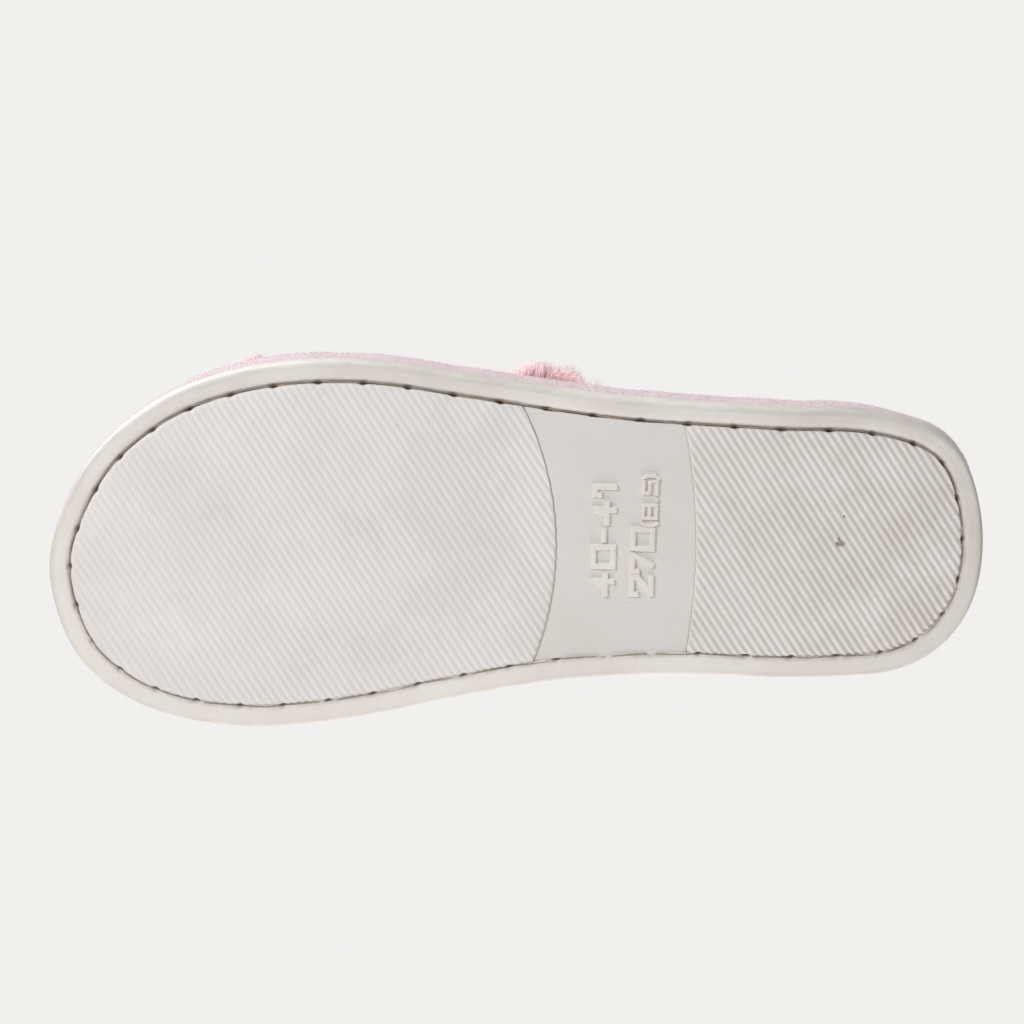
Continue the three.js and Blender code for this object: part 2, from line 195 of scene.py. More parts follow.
# %% [markdown]
# ## Shader groups
# Some effects are in many finishes: a moulded or fibrous grain that lifts the surface, a slow change
# of colour, and a grey-brown darkening: dirt that gathers in hollows in some finishes, painted shade
# in others. Each is one node group with named inputs. Every material then places it with its own values.

# %% Nodes that give one socket


def calculate(tree, operation, *values):
    """The result of a Math node."""
    return add_node(tree, "Math", *values, operation=operation).outputs[0]


def ramp(tree, value, low, high, first=0.0, last=1.0):
    """Carries a value's stretch from low to high onto first to last, and holds it beyond them."""
    ends = {"From_Min": low, "From_Max": high, "To_Min": first, "To_Max": last}
    return add_node(tree, "MapRange", Value=value, **ends).outputs[0]


def noise(tree, place, scale, detail, roughness=0.5):
    """The value of a Noise Texture."""
    values = {"Vector": place, "Scale": scale, "Detail": detail, "Roughness": roughness}
    return add_node(tree, "TexNoise", **values).outputs["Fac"]


def mix_colours(tree, share, first, second):
    """A colour between two others: the first at share 0 and the second at share 1."""
    node = add_node(tree, "Mix", share, data_type="RGBA")
    tree.links.new(first, node.inputs[6])
    tree.links.new(second, node.inputs[7])
    return node.outputs[2]


def bumped(tree, height, strength, distance, **below):
    """The normal of a surface with a height on it, over another normal if one is given."""
    return add_node(tree, "Bump", Height=height, Strength=strength, Distance=distance, **below).outputs[0]


def axes(tree, vector):
    """The three numbers of a vector, as sockets."""
    return add_node(tree, "SeparateXYZ", vector).outputs


# %% Shader groups
SOCKET_KINDS = {type(None): "Vector", float: "Float", tuple: "Color"}


def new_group(name, label, kind, **inputs):
    """A node group with one output of a label and kind. Each input has its default, and the default's
    type tells the input's kind: nothing for a vector, a number, or a colour."""
    group = bpy.data.node_groups.new(name, "ShaderNodeTree")
    for key, default in inputs.items():
        socket_type = "NodeSocket" + SOCKET_KINDS[type(default)]
        socket = group.interface.new_socket(key, in_out="INPUT", socket_type=socket_type)
        if default is not None:
            socket.default_value = default
    group.interface.new_socket(label, in_out="OUTPUT", socket_type="NodeSocket" + kind)
    start, end = group.nodes.new("NodeGroupInput"), group.nodes.new("NodeGroupOutput")
    return group, start.outputs, end.inputs[0]


def build_grain():
    """Grain: fine noise and a coarser one of about a fifth of its scale, as a height that turns the
    normal."""
    group, given, end = new_group("grain", "Normal", "Vector", Vector=None, Scale=900.0, Depth=0.3)
    fine = noise(group, given["Vector"], given["Scale"], 3.0)
    coarse = noise(group, given["Vector"], calculate(group, "MULTIPLY", given["Scale"], 0.22), 2.0)
    height = calculate(group, "ADD", fine, coarse)
    group.links.new(bumped(group, height, given["Depth"], 0.0004), end)
    return group


def build_mottle():
    """Mottle: two colours, mixed by a slow noise with a little fast noise on top."""
    colours = {"Light": (0.8, 0.8, 0.8, 1), "Dark": (0.6, 0.6, 0.6, 1)}
    group, given, end = new_group("mottle", "Color", "Color", Vector=None, **colours, Scale=30.0)
    spread = ramp(group, noise(group, given["Vector"], given["Scale"], 6.0, 0.62), 0.32, 0.68)
    group.links.new(mix_colours(group, spread, given["Light"], given["Dark"]), end)
    return group


def build_dirt_and_shade():
    """Dirt and shade: mixes a darker colour into a colour where a mask says so, broken up by a rough noise.
    It paints real dirt in some finishes and painted shade in others.
    """
    colours = {"Color": (0.8, 0.8, 0.8, 1), "Dirt": (0.2, 0.15, 0.1, 1)}
    group, given, end = new_group("dirt_and_shade", "Color", "Color", Vector=None, **colours, Mask=0.0, Scale=120.0)
    patchy = ramp(group, noise(group, given["Vector"], given["Scale"], 5.0, 0.7), 0.3, 0.62)
    share = calculate(group, "MULTIPLY", given["Mask"], patchy)
    group.links.new(mix_colours(group, share, given["Color"], given["Dirt"]), end)
    return group


GRAIN, MOTTLE, DIRT_AND_SHADE = build_grain(), build_mottle(), build_dirt_and_shade()
print("groups:", [g.name for g in bpy.data.node_groups])

# %% Material helpers


def new_material(name, roughness, **shader):
    """A material with only a Principled BSDF, its tree and its Object coordinates."""
    material = bpy.data.materials.new(name)
    material.use_nodes = True
    tree = material.node_tree
    tree.nodes.clear()
    bsdf = add_node(tree, "BsdfPrincipled", Roughness=roughness, **shader)
    add_node(tree, "OutputMaterial", bsdf.outputs[0])
    return material, tree, bsdf, add_node(tree, "TexCoord").outputs["Object"]


def use_group(tree, group, place, **values):
    """What a shader group puts out in a material, for values that are numbers, colours or sockets."""
    return add_node(tree, "Group", node_tree=group, Vector=place, **values).outputs[0]


def grained(tree, place, scale, depth):
    """The normal of a grain."""
    return use_group(tree, GRAIN, place, Scale=scale, Depth=depth)


def mottled(tree, place, light, dark, scale):
    """A colour that changes slowly between a light one and a dark one."""
    return use_group(tree, MOTTLE, place, Light=linear(light), Dark=linear(dark), Scale=scale)


def with_dirt_and_shade(tree, place, colour, dirt, mask, scale):
    """A colour with a darker one mixed in where the mask says: dirt for some callers, painted shade for
    others.
    """
    return use_group(tree, DIRT_AND_SHADE, place, Color=colour, Dirt=linear(dirt), Mask=mask, Scale=scale)


def dress(tree, bsdf, colour, normal):
    """Gives a shader its colour and its normal."""
    tree.links.new(colour, bsdf.inputs["Base Color"])
    tree.links.new(normal, bsdf.inputs["Normal"])


def cloth_material(name, light, dark, scale, grain, depth):
    """A mottled, fibrous finish: colour from mottle and normal from grain."""
    material, tree, bsdf, place = new_material(name, 0.95)
    dress(tree, bsdf, mottled(tree, place, light, dark, scale), grained(tree, place, grain, depth))
    return material


def fibre_shades(name, **colours):
    """Finishes for single fibres, one for each shade: plain colour, because a fibre is thinner than
    any pattern, with roughness that changes from place to place."""
    finishes, sheen = [], {"Sheen_Weight": 0.4, "Sheen_Roughness": 0.5}
    for shade, colour in colours.items():
        material, tree, bsdf, place = new_material(f"{name}_{shade}", 0.9, **sheen)
        bsdf.inputs["Base Color"].default_value = linear(colour)
        rough = ramp(tree, noise(tree, place, 400.0, 2.0), 0.0, 1.0, 0.75)
        tree.links.new(rough, bsdf.inputs["Roughness"])
        finishes.append(material)
    return finishes


# %% [markdown]
# ## Turning arrays into closed meshes
# Every new piece is one of three kinds: a loft, whose rings of points follow one another; a plate,
# made of parallel chords across an outline; or a crowd of small fibres. The signed volume of a closed
# mesh is positive when its faces point outwards, so that is how each piece is turned the right way.

# %% Mesh helpers


def signed_volume(points, quads, triangles):
    """Volume by the divergence theorem: the sum of a . (b x c) / 6 over all triangles."""
    halves = [triangles] if len(triangles) else []
    if len(quads):
        halves += [quads[:, [0, 1, 2]], quads[:, [0, 2, 3]]]
    a, b, c = (points[np.concatenate(halves)[:, k]] for k in range(3))
    return float(np.einsum("ij,ij->i", a, np.cross(b, c)).sum() / 6)


def make_piece(name, slot, points, quads, triangles, materials, faces_material=None, uv=None, smooth=True):
    """Builds a mesh object from arrays. points are in millimetres, and uv is one pair for each point.
    slot, the family of finishes that the piece belongs to, is not used."""
    quads = np.asarray(quads, np.int64).reshape(-1, 4)
    triangles = np.asarray(triangles, np.int64).reshape(-1, 3)
    if signed_volume(points, quads, triangles) < 0:
        quads, triangles = quads[:, ::-1], triangles[:, ::-1]
    corners = np.concatenate([quads.ravel(), triangles.ravel()])
    sizes = np.concatenate([np.full(len(quads), 4), np.full(len(triangles), 3)])
    mesh = bpy.data.meshes.new(name)
    mesh.vertices.add(len(points))
    mesh.vertices.foreach_set("co", (points * MM).astype(np.float32).ravel())
    mesh.loops.add(len(corners))
    mesh.loops.foreach_set("vertex_index", corners.astype(np.int32))
    mesh.polygons.add(len(sizes))
    mesh.polygons.foreach_set("loop_start", (np.cumsum(sizes) - sizes).astype(np.int32))
    if faces_material is not None:
        mesh.polygons.foreach_set("material_index", np.asarray(faces_material, np.int32))
    mesh.polygons.foreach_set("use_smooth", np.full(len(sizes), smooth))
    mesh.update(calc_edges=True)
    if uv is not None:
        layer = mesh.uv_layers.new(name="surface")
        layer.uv.foreach_set("vector", uv[corners].astype(np.float32).ravel())
    for material in materials if isinstance(materials, (list, tuple)) else [materials]:
        mesh.materials.append(material)
    piece = bpy.data.objects.new(name, mesh)
    bpy.context.scene.collection.objects.link(piece)
    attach(piece, "root")
    print(f"{name}: {2 * len(quads) + len(triangles)} triangles")
    return piece


def loft_arrays(rings, closed=False):
    """Points and faces of a skin through rings of points, an array of (ring, point, xyz): quads between
    neighbouring rings, and a fan to a middle point at each end unless the rings run in a circle."""
    count, size = rings.shape[:2]
    r, i = np.meshgrid(np.arange(count if closed else count - 1), np.arange(size), indexing="ij")
    after, beside = (r + 1) % count, (i + 1) % size
    quads = np.stack([r * size + i, r * size + beside, after * size + beside, after * size + i], -1)
    points, triangles = rings.reshape(-1, 3), np.empty((0, 3), np.int64)
    if not closed:
        points = np.concatenate([points, [rings[0].mean(0), rings[-1].mean(0)]])
        i = np.arange(size)
        beside, last_ring = (i + 1) % size, (count - 1) * size
        first = np.stack([np.full(size, count * size), beside, i], -1)
        last = np.stack([np.full(size, count * size + 1), last_ring + i, last_ring + beside], -1)
        triangles = np.concatenate([first, last])
    return points, quads.reshape(-1, 4), triangles


def loft(name, slot, rings, materials, closed=False, uv=None):
    """A piece with a closed skin through rings of points; uv is a pair for each of those points."""
    uv = None if uv is None else uv.reshape(-1, 2)
    return make_piece(name, slot, *loft_arrays(rings, closed), materials, uv=uv)


def smoothstep(t):
    """0 below 0, 1 above 1, and an even S in between."""
    t = np.clip(t, 0, 1)
    return t * t * (3 - 2 * t)


def through(points, count):
    """count points on a closed Catmull-Rom curve through the given points."""
    p = np.asarray(points, float)
    n = len(p)
    at = np.arange(count) * n / count
    k = at.astype(int)
    t = (at - k)[:, None]
    a, b, c, d = (p[(k + j) % n] for j in (-1, 0, 1, 2))
    return 0.5 * (2 * b + (c - a) * t + (2 * a - 5 * b + 4 * c - d) * t**2 + (3 * b - a - 3 * c + d) * t**3)


# %% [markdown]
# ## The outline of the sole
# All the layers follow one outline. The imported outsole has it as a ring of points, where its wall
# starts. A Fourier series through the ring, cut off after its slow terms, is a curve with no corners.

# %% The outline as a smooth curve
AROUND = 1320  # points round the finished outline
SAMPLES = 4096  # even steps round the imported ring
HARMONICS = 26
ROUNDING_TOP = 0.9  # height at which the outsole's wall starts

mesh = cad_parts["outsole"].data
corners = np.empty(len(mesh.vertices) * 3, np.float32)
mesh.vertices.foreach_get("co", corners)
corners = corners.reshape(-1, 3) / MM
ring = np.unique(corners[np.abs(corners[:, 2] - ROUNDING_TOP) < 0.05][:, :2].round(3), axis=0)
middle = (ring.max(0) + ring.min(0)) / 2
ring = ring[np.argsort(np.arctan2(*(ring - middle).T[::-1]))]
closed_ring = np.vstack([ring, ring[:1]])
travelled = np.concatenate([[0], np.cumsum(np.linalg.norm(np.diff(closed_ring, axis=0), axis=1))])
even = np.linspace(0, travelled[-1], SAMPLES, endpoint=False)
curve = np.interp(even, travelled, closed_ring[:, 0]) + 1j * np.interp(even, travelled, closed_ring[:, 1])
frequency = np.fft.fftfreq(SAMPLES, 1 / SAMPLES)
slow_terms = np.abs(frequency) <= HARMONICS
terms, frequency = np.fft.fft(curve)[slow_terms], frequency[slow_terms]
share = np.arange(AROUND) / AROUND
wave = np.exp(2j * np.pi * np.outer(share, frequency))
edge = wave @ terms / SAMPLES
heading = wave @ (2j * np.pi * frequency * terms) / SAMPLES
outward = -1j * heading / np.abs(heading)
PERIMETER = travelled[-1]
along = share * PERIMETER
print(f"outline {PERIMETER:.0f} mm round, {len(ring)} points in the packed ring")


def inset_outline(inset):
    """The outline moved inwards by inset, a number or one value for each point, as (point, xy)."""
    moved = edge - outward * inset
    return np.stack([moved.real, moved.imag], -1)


def hoop_section(section):
    """Insets and heights of a section's points, the same at every point of the outline."""
    return [np.repeat(column[None], AROUND, axis=0) for column in section.T]


def sweep(inset, height):
    """Rings of a hoop round the sole: inset and height are (points round, points of the section)."""
    inset, height = np.broadcast_arrays(inset, height)
    moved = edge[:, None] - outward[:, None] * inset
    return np.stack([moved.real, moved.imag, height], -1)


# %% [markdown]
# ## Outsole
# The real one is a moulding with a flat rim, a groove for the stitches, and inside the groove a tread
# of slanting ribs. One height field could hold all this, but it would need far too many faces, so the
# outsole is four surfaces that meet in the groove: a rim swept round the outline, two ribbed plates
# and a plain one under the arch. The ribs run in straight lines, so a plate of chords parallel to them
# needs fine steps only across the ribs.

# %% Finishes of the outsole
HEEL_MARKS = [  # centre and size of each small stain, in metres
    ((0.0006, 0.0938, 0.0002), 0.0011),
    ((0.0021, 0.0932, 0.0002), 0.0006),
    ((0.0086, 0.0948, 0.0002), 0.0004),
]


def moulded_lines(tree, place, position, pitch, strength, distance):
    """The normal of fine lines, one for each pitch of a position, over the grain of moulded rubber."""
    ripple = calculate(tree, "SINE", calculate(tree, "MULTIPLY", position, 2 * np.pi / pitch))
    return bumped(tree, ripple, strength, distance, Normal=grained(tree, place, 1500.0, 0.12))


def rim_rubber():
    """Rubber of the rim. The surface map's second number is the distance from the edge in mm, so
    fine moulded lines and the dirt of the groove follow the outline. Painted shade darkens the
    outer shoulder of the rim, and the rim at the little toe's side and at the heel."""
    material, tree, bsdf, place = new_material("rim_rubber", 0.62, Specular_IOR_Level=0.35)
    inset = axes(tree, add_node(tree, "UVMap", uv_map="surface").outputs[0])[1]
    x, y, _ = axes(tree, place)
    little_toe = ramp(tree, x, -0.03, 0.035)
    both = calculate(tree, "ADD", little_toe, ramp(tree, y, 0.07, 0.135))
    # Painted shade: the rim is darker towards the little toe's side and the heel.
    painted_side_shade = ramp(tree, both, -0.35, 2.0, 0.0, 0.42)
    share = ramp(tree, little_toe, 0.0, 1.0, 0.5)
    in_groove = calculate(tree, "MULTIPLY", ramp(tree, inset, 4.6, 6.0), share)
    # Painted shade along the rim's outer shoulder.
    painted_edge_shade = ramp(tree, inset, 1.9, 0.3, 0.0, 0.35)
    colour = mottled(tree, place, (238, 233, 228), (228, 222, 217), 28.0)
    # Painted shade on the little toe's side and the heel.
    colour = with_dirt_and_shade(tree, place, colour, (150, 141, 136), painted_side_shade, 12.0)
    colour = with_dirt_and_shade(tree, place, colour, (112, 93, 78), in_groove, 160.0)
    # Painted shade on the outer shoulder.
    colour = with_dirt_and_shade(tree, place, colour, (150, 143, 139), painted_edge_shade, 35.0)
    dress(tree, bsdf, colour, moulded_lines(tree, place, inset, 0.62, 0.16, 0.00012))
    return material


def tread_rubber():
    """Rubber of the ribbed plates: dirt lies in the valleys and a few brown specks stand out."""
    material, tree, bsdf, place = new_material("tread_rubber", 0.66, Specular_IOR_Level=0.3)
    _, y, z = axes(tree, place)
    valley, heel = ramp(tree, z, 0.00012, 0.0006), ramp(tree, y, 0.02, 0.13, 0.0, 0.16)
    dust = calculate(tree, "MULTIPLY_ADD", valley, 0.2, heel)
    cells = add_node(tree, "TexVoronoi", Vector=place, Scale=42.0).outputs["Distance"]
    colour = mottled(tree, place, (231, 227, 224), (220, 215, 212), 22.0)
    colour = with_dirt_and_shade(tree, place, colour, (150, 134, 126), dust, 70.0)
    colour = with_dirt_and_shade(tree, place, colour, (105, 80, 58), ramp(tree, cells, 0.030, 0.018), 9.0)
    for centre, size in HEEL_MARKS:
        away = add_node(tree, "VectorMath", place, centre, operation="DISTANCE").outputs["Value"]
        ragged = calculate(tree, "MULTIPLY", noise(tree, place, 900.0, 2.0), away)
        spot = ramp(tree, ragged, size * 0.6, size * 0.35)
        colour = with_dirt_and_shade(tree, place, colour, (112, 80, 40), spot, 500.0)
    dress(tree, bsdf, colour, grained(tree, place, 1700.0, 0.16))
    return material


def arch_rubber(name, light, line_height):
    """Rubber of the arch panel and its numerals, with fine moulded lines 0.75 mm apart."""
    material, tree, bsdf, place = new_material(name, 0.6, Specular_IOR_Level=0.35)
    lines = moulded_lines(tree, place, axes(tree, place)[0], 0.75 * MM, line_height, 0.0001)
    dress(tree, bsdf, mottled(tree, place, light, (217, 212, 208), 20.0), lines)
    return material


# %% Rim, wall and stitch groove
HOLE_PITCH = 13.5
hole_count = round(PERIMETER / HOLE_PITCH)
from_hole = (along * hole_count / PERIMETER + 0.5) % 1 - 0.5
from_hole *= PERIMETER / hole_count  # distance along the seam to the nearest needle hole

# The rim's section as [inset, height]: up inside the wall, over its lip, down the wall, across the
# rim's face, into the groove and back through the plate.
RIM_SECTION = np.array(
    [
        [2.5, 8.7], [1.9, 9.0], [0.8, 9.05], [0.25, 8.9], [0.02, 8.5], [0.0, 7.6], [0.1, 6.0], [0.14, 4.5],
        [0.1, 3.0], [0.02, 1.8], [0.0, 1.1], [0.1, 0.65], [0.32, 0.32], [0.65, 0.1], [1.0, 0.02], [1.5, 0.0],
        [2.2, 0.0], [2.8, 0.0], [3.3, 0.02], [3.7, 0.09], [4.1, 0.24], [4.5, 0.48], [4.9, 0.8], [5.25, 1.15],
        [5.5, 1.5], [5.7, 1.85], [6.0, 2.0], [6.5, 2.0], [7.0, 2.0], [7.6, 2.0], [8.2, 2.0], [8.6, 2.4],
        [8.6, 4.2], [7.0, 4.5], [4.0, 4.5], [2.6, 4.6],
    ]
)  # fmt: skip
UNDERSIDE = 2.3  # the rim's face and groove are lower than this
FACE_START, GROOVE_START, GROOVE_WALL, GROOVE_END = 2.4, 3.0, 4.9, 6.15
HOLE_INSET, HOLE_DEPTH, HOLE_LENGTH, HOLE_WIDTH = 6.1, 1.5, 1.1, 0.9
WIDER = 0.13 * (1 - outward.real)  # the rim is a little wider on the big-toe side
OPEN = 0.58 + 0.42 * outward.real - 0.25 * np.clip(outward.imag, 0, 1)  # how far the groove stays open

inset, height = hoop_section(RIM_SECTION)
below = height < UNDERSIDE
inset += WIDER[:, None] * smoothstep((inset - FACE_START) / 2) * below
closing = (inset > GROOVE_START) * below * (1 - smoothstep((inset - GROOVE_END) / 0.5))
height *= 1 + (OPEN[:, None] - 1) * closing
hole = np.exp(-((from_hole[:, None] / HOLE_LENGTH) ** 2) - ((inset - HOLE_INSET) / HOLE_WIDTH) ** 2)
height += np.where(inset > GROOVE_WALL, HOLE_DEPTH * hole, 0) * below
unevenness = np.sin(along / 23.0) * 0.05 + np.sin(along / 9.1 + 1.0) * 0.03
height += unevenness[:, None] * smoothstep((inset - 0.8) / 1.5) * (height < 0.1)
uv = np.stack([np.repeat(along[:, None], len(RIM_SECTION), 1), inset], -1)
loft("outsole_rim", "sole_rubber", sweep(inset, height), rim_rubber(), closed=True, uv=uv)

# %% Plates of chords
CROWDING = 0.86  # how strongly the points of a chord crowd at its ends


def turned(run):
    """A direction on the ground, turned clockwise by a right angle."""
    return np.array([run[1], -run[0]])


def chords(region, run, places):
    """Where parallel lines enter and leave a closed region. run is the lines' unit direction, and
    places are their distances along the direction turned by a right angle."""
    a, b = region, np.roll(region, -1, axis=0)
    da, db = a @ turned(run) - places[:, None], b @ turned(run) - places[:, None]
    crossing = da * db <= 0
    mixing = np.where(crossing, da / np.where(da == db, 1, da - db), 0)
    at = (a @ run) * (1 - mixing) + (b @ run) * mixing
    return np.where(crossing, at, np.inf).min(1), np.where(crossing, at, -np.inf).max(1)


def circle_chords(centre, radius, run, places):
    """The same for a circle; lines that miss it get an empty stretch."""
    off = centre @ turned(run) - places
    reach = np.sqrt(np.maximum(radius**2 - off**2, 0))
    return centre @ run - reach, centre @ run + reach


def plate(name, slot, run, places, start, end, steps, surface, back, materials):
    """A closed plate made of chords: each ring goes along the shown face and returns along the back.
    surface and back are functions of (place, along, from_end) that give their heights."""
    t = np.linspace(0, 1, steps)
    t = t + CROWDING * (smoothstep(t) - t)
    length = (end - start)[:, None]
    reach = np.minimum(t * length, (1 - t) * length)
    at = start[:, None] + t * length
    flat = np.repeat(places[:, None], steps, 1)[..., None] * turned(run) + at[..., None] * run
    face = np.concatenate([flat, surface(places[:, None], at, reach)[..., None]], -1)
    rear = np.concatenate([flat, back(places[:, None], at, reach)[..., None]], -1)[:, ::-1]
    return loft(name, slot, np.concatenate([face, rear], 1), materials), face


# %% Ribbed forefoot and heel
TREAD_EDGE = 6.0
HOLE_DENT, DENT_LENGTH = 0.45, 1.2  # the tread's edge is pulled in at every needle hole
RIB_PITCH = 2.03
RIB_DEPTH = 0.55
WORN_DEPTH, LESS_WORN = 0.52, 0.42  # share of the depth left under the forefoot, and the heel's extra
RIB_RUN = np.array([-0.84, 0.54]) / np.hypot(0.84, 0.54)
CHORDS_IN_RIB, CHORD_STEPS = 9, 22
SHORTEST_CHORD = 0.6
SHANK_FRONT, SHANK_FRONT_RADIUS = 0.543, 92.0  # where the arch panel starts, as a share of the sole
SHANK_REAR, SHANK_REAR_RADIUS = 0.693, 185.0  # and where it ends
RIB_END, RIB_END_LIFT = 0.8, 0.32  # the last stretch of a rib, and how far it rounds off
PLATE_BACK = 2.6  # height of the backs of the plates
tread_edge = inset_outline(TREAD_EDGE + WIDER + HOLE_DENT * np.exp(-((from_hole / DENT_LENGTH) ** 2)))
front_disc = np.array([0.0, TOE_Y + SHANK_FRONT * SOLE_LENGTH - SHANK_FRONT_RADIUS])
rear_disc = np.array([0.0, TOE_Y + SHANK_REAR * SOLE_LENGTH - SHANK_REAR_RADIUS])


def plate_back(place, at, from_end):
    """The back of every outsole plate is flat."""
    return np.full_like(at, PLATE_BACK)


def rib_surface(place, at, from_end):
    """Height above the ground of a ribbed face: 0 on the crests, RIB_DEPTH in the valleys, with
    rounded crests, worn lower under the forefoot, and rounded off at the ends of the ribs."""
    phase = 2 * np.pi * place / RIB_PITCH
    valley = (0.5 - 0.5 * np.cos(phase)) ** 1.25
    y = -place * RIB_RUN[0] + at * RIB_RUN[1]
    wear = WORN_DEPTH + LESS_WORN * smoothstep((y - 10) / 60) + 0.05 * np.sin(place / 17.0 + at / 29.0)
    end = np.clip(1 - from_end / RIB_END, 0, 1)
    return RIB_DEPTH * valley * wear + RIB_END_LIFT * end**2 * (1 - 0.35 * valley)


def ribbed_plate(name, material, behind_arch):
    """The ribbed plate in front of the arch or behind it."""
    reach = tread_edge @ turned(RIB_RUN)
    places = np.arange(reach.min() + 0.05, reach.max(), RIB_PITCH / CHORDS_IN_RIB)
    start, end = chords(tread_edge, RIB_RUN, places)
    if behind_arch:
        start = np.maximum(start, circle_chords(rear_disc, SHANK_REAR_RADIUS, RIB_RUN, places)[1])
    else:
        disc_start, disc_end = circle_chords(front_disc, SHANK_FRONT_RADIUS, RIB_RUN, places)
        start, end = np.maximum(start, disc_start), np.minimum(end, disc_end)
    good = end - start > SHORTEST_CHORD
    lines = places[good], start[good], end[good]
    plate(name, "sole_rubber", RIB_RUN, *lines, CHORD_STEPS, rib_surface, plate_back, material)


tread_paint = tread_rubber()
ribbed_plate("outsole_forefoot_tread", tread_paint, False)
ribbed_plate("outsole_heel_tread", tread_paint, True)

# %% Plain arch panel
ARCH_RECESS = 0.72
ARCH_END, ARCH_END_LIFT = 0.5, 0.2
ARCH_CHORDS, ARCH_CHORD_STEPS = 260, 40


def arch_surface(place, at, from_end):
    """The panel's face is level, with its ends rounded off."""
    end = np.clip(1 - from_end / ARCH_END, 0, 1)
    return ARCH_RECESS + ARCH_END_LIFT * end**2 + 0 * place


places = np.linspace(tread_edge[:, 0].min() + 0.05, tread_edge[:, 0].max() - 0.05, ARCH_CHORDS)
lengthwise = np.array([0.0, 1.0])
start, end = chords(tread_edge, lengthwise, places)
start = np.maximum(start, circle_chords(front_disc, SHANK_FRONT_RADIUS, lengthwise, places)[1])
end = np.minimum(end, circle_chords(rear_disc, SHANK_REAR_RADIUS, lengthwise, places)[1])
good = end - start > SHORTEST_CHORD
lines = places[good], start[good], end[good], ARCH_CHORD_STEPS
faces = arch_surface, plate_back, arch_rubber("arch_rubber", (225, 220, 217), 0.26)
arch, _ = plate("outsole_arch_panel", "sole_rubber", lengthwise, *lines, *faces)
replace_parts(arch, "outsole")

# %% [markdown]
# ## Size numerals on the arch
# The sole is marked with its size in raised strokes. Each numeral is a few straight lines in a box one
# unit high, and each line becomes a low bar with a rounded back. The row of numerals runs across the
# sole and is read from the heel.

# %% Numerals as strokes
GLYPHS = {
    "0": [[(0, 0), (1, 0), (1, 1), (0, 1), (0, 0)]],
    "1": [[(0, 0.76), (0, 1), (0.4, 1)], [(0.4, 1), (0.4, 0)]],
    "2": [[(0, 0.74), (0, 1), (0.9, 1), (0.9, 0.68)], [(0.84, 0.66), (0.2, 0.08)], [(0, 0), (0.9, 0)]],
    "4": [[(0.7, 0), (0.7, 1)], [(0.66, 0.94), (0.42, 0.42)], [(0, 0.36), (1.05, 0.36)]],
    "5": [[(1, 1), (0.1, 1), (0.1, 0.56)], [(0.1, 0.56), (1, 0.56), (1, 0)], [(1, 0), (0, 0)]],
    "7": [[(0, 0.72), (0, 1), (0.9, 1)], [(0.84, 0.9), (0.36, 0)]],
    "8": [[(0, 0), (1, 0), (1, 1), (0, 1), (0, 0)], [(0, 0.52), (1, 0.52)]],
    "-": [[(0, 0.5), (0.52, 0.5)]],
    ".": [[(0, 0), (0.1, 0)]],
    "(": [[(0.2, 1.1), (0, 0.8)], [(0, 0.8), (0, 0.2)], [(0, 0.2), (0.2, -0.1)]],
    ")": [[(0, 1.1), (0.2, 0.8)], [(0.2, 0.8), (0.2, 0.2)], [(0.2, 0.2), (0, -0.1)]],
}  # fmt: skip
ADVANCE = {"4": 1.48, "0": 1.34, "-": 0.88, "8": 1.36, ".": 0.5, "(": 0.56}  # step to the next numeral
OTHER_ADVANCE = 1.2
STROKE_RISE = 0.7
STROKE_SECTION = np.array(
    [[-0.5, -0.3], [-0.46, 0.5], [-0.36, 0.92], [0, 1], [0.36, 0.92], [0.46, 0.5], [0.5, -0.3]]
)
READ_TURN = 0.026  # slant of the rows, in radians
READ_RUN = np.array([np.cos(READ_TURN), np.sin(READ_TURN)])
READ_UP = np.array([np.sin(READ_TURN), -np.cos(READ_TURN)])


def bar(line, width):
    """A raised bar along an open or closed line of corners (x, y): its section is a low arch, and the
    rings at its corners are turned half-way between the two directions."""
    line = np.asarray(line, float)
    closed = bool(np.allclose(line[0], line[-1]))
    steps = np.diff(line, axis=0)
    steps /= np.linalg.norm(steps, axis=1)[:, None]
    if closed:
        line = line[:-1]
        before, after = np.roll(steps, 1, axis=0), steps
    else:
        line = np.vstack([line[0] - steps[0] * width * 0.3, line[1:-1], line[-1] + steps[-1] * width * 0.3])
        before, after = np.vstack([steps[:1], steps]), np.vstack([steps, steps[-1:]])
    turn = before + after
    turn /= np.linalg.norm(turn, axis=1)[:, None]
    mitre = 1 / np.clip(np.einsum("ij,ij->i", turn, after), 0.6, 1)
    side = np.stack([-turn[:, 1], turn[:, 0]], -1) * mitre[:, None]
    flat = line[:, None] + side[:, None] * STROKE_SECTION[None, :, :1] * width
    height = np.broadcast_to(ARCH_RECESS - STROKE_RISE * STROKE_SECTION[:, 1:], (*flat.shape[:2], 1))
    return np.concatenate([flat, height], -1), closed


def numerals(name, text, cap_height, stroke, start):
    """One mesh with every bar of a text that starts at start, in the sole's plane."""
    solids, count, x = [], 0, 0.0
    for letter in text:
        for line in GLYPHS[letter]:
            on_sole = [start + (x + u) * cap_height * READ_RUN + v * cap_height * READ_UP for u, v in line]
            points, quads, triangles = loft_arrays(*bar(on_sole, stroke))
            if signed_volume(points, quads, triangles) < 0:
                quads, triangles = quads[:, ::-1], triangles[:, ::-1]
            solids.append((points, quads + count, triangles + count))
            count += len(points)
        x += ADVANCE.get(letter, OTHER_ADVANCE)
    arrays = [np.concatenate(part) for part in zip(*solids)]
    make_piece(name, "sole_rubber", *arrays, highlighted_numeral_paint, smooth=False)


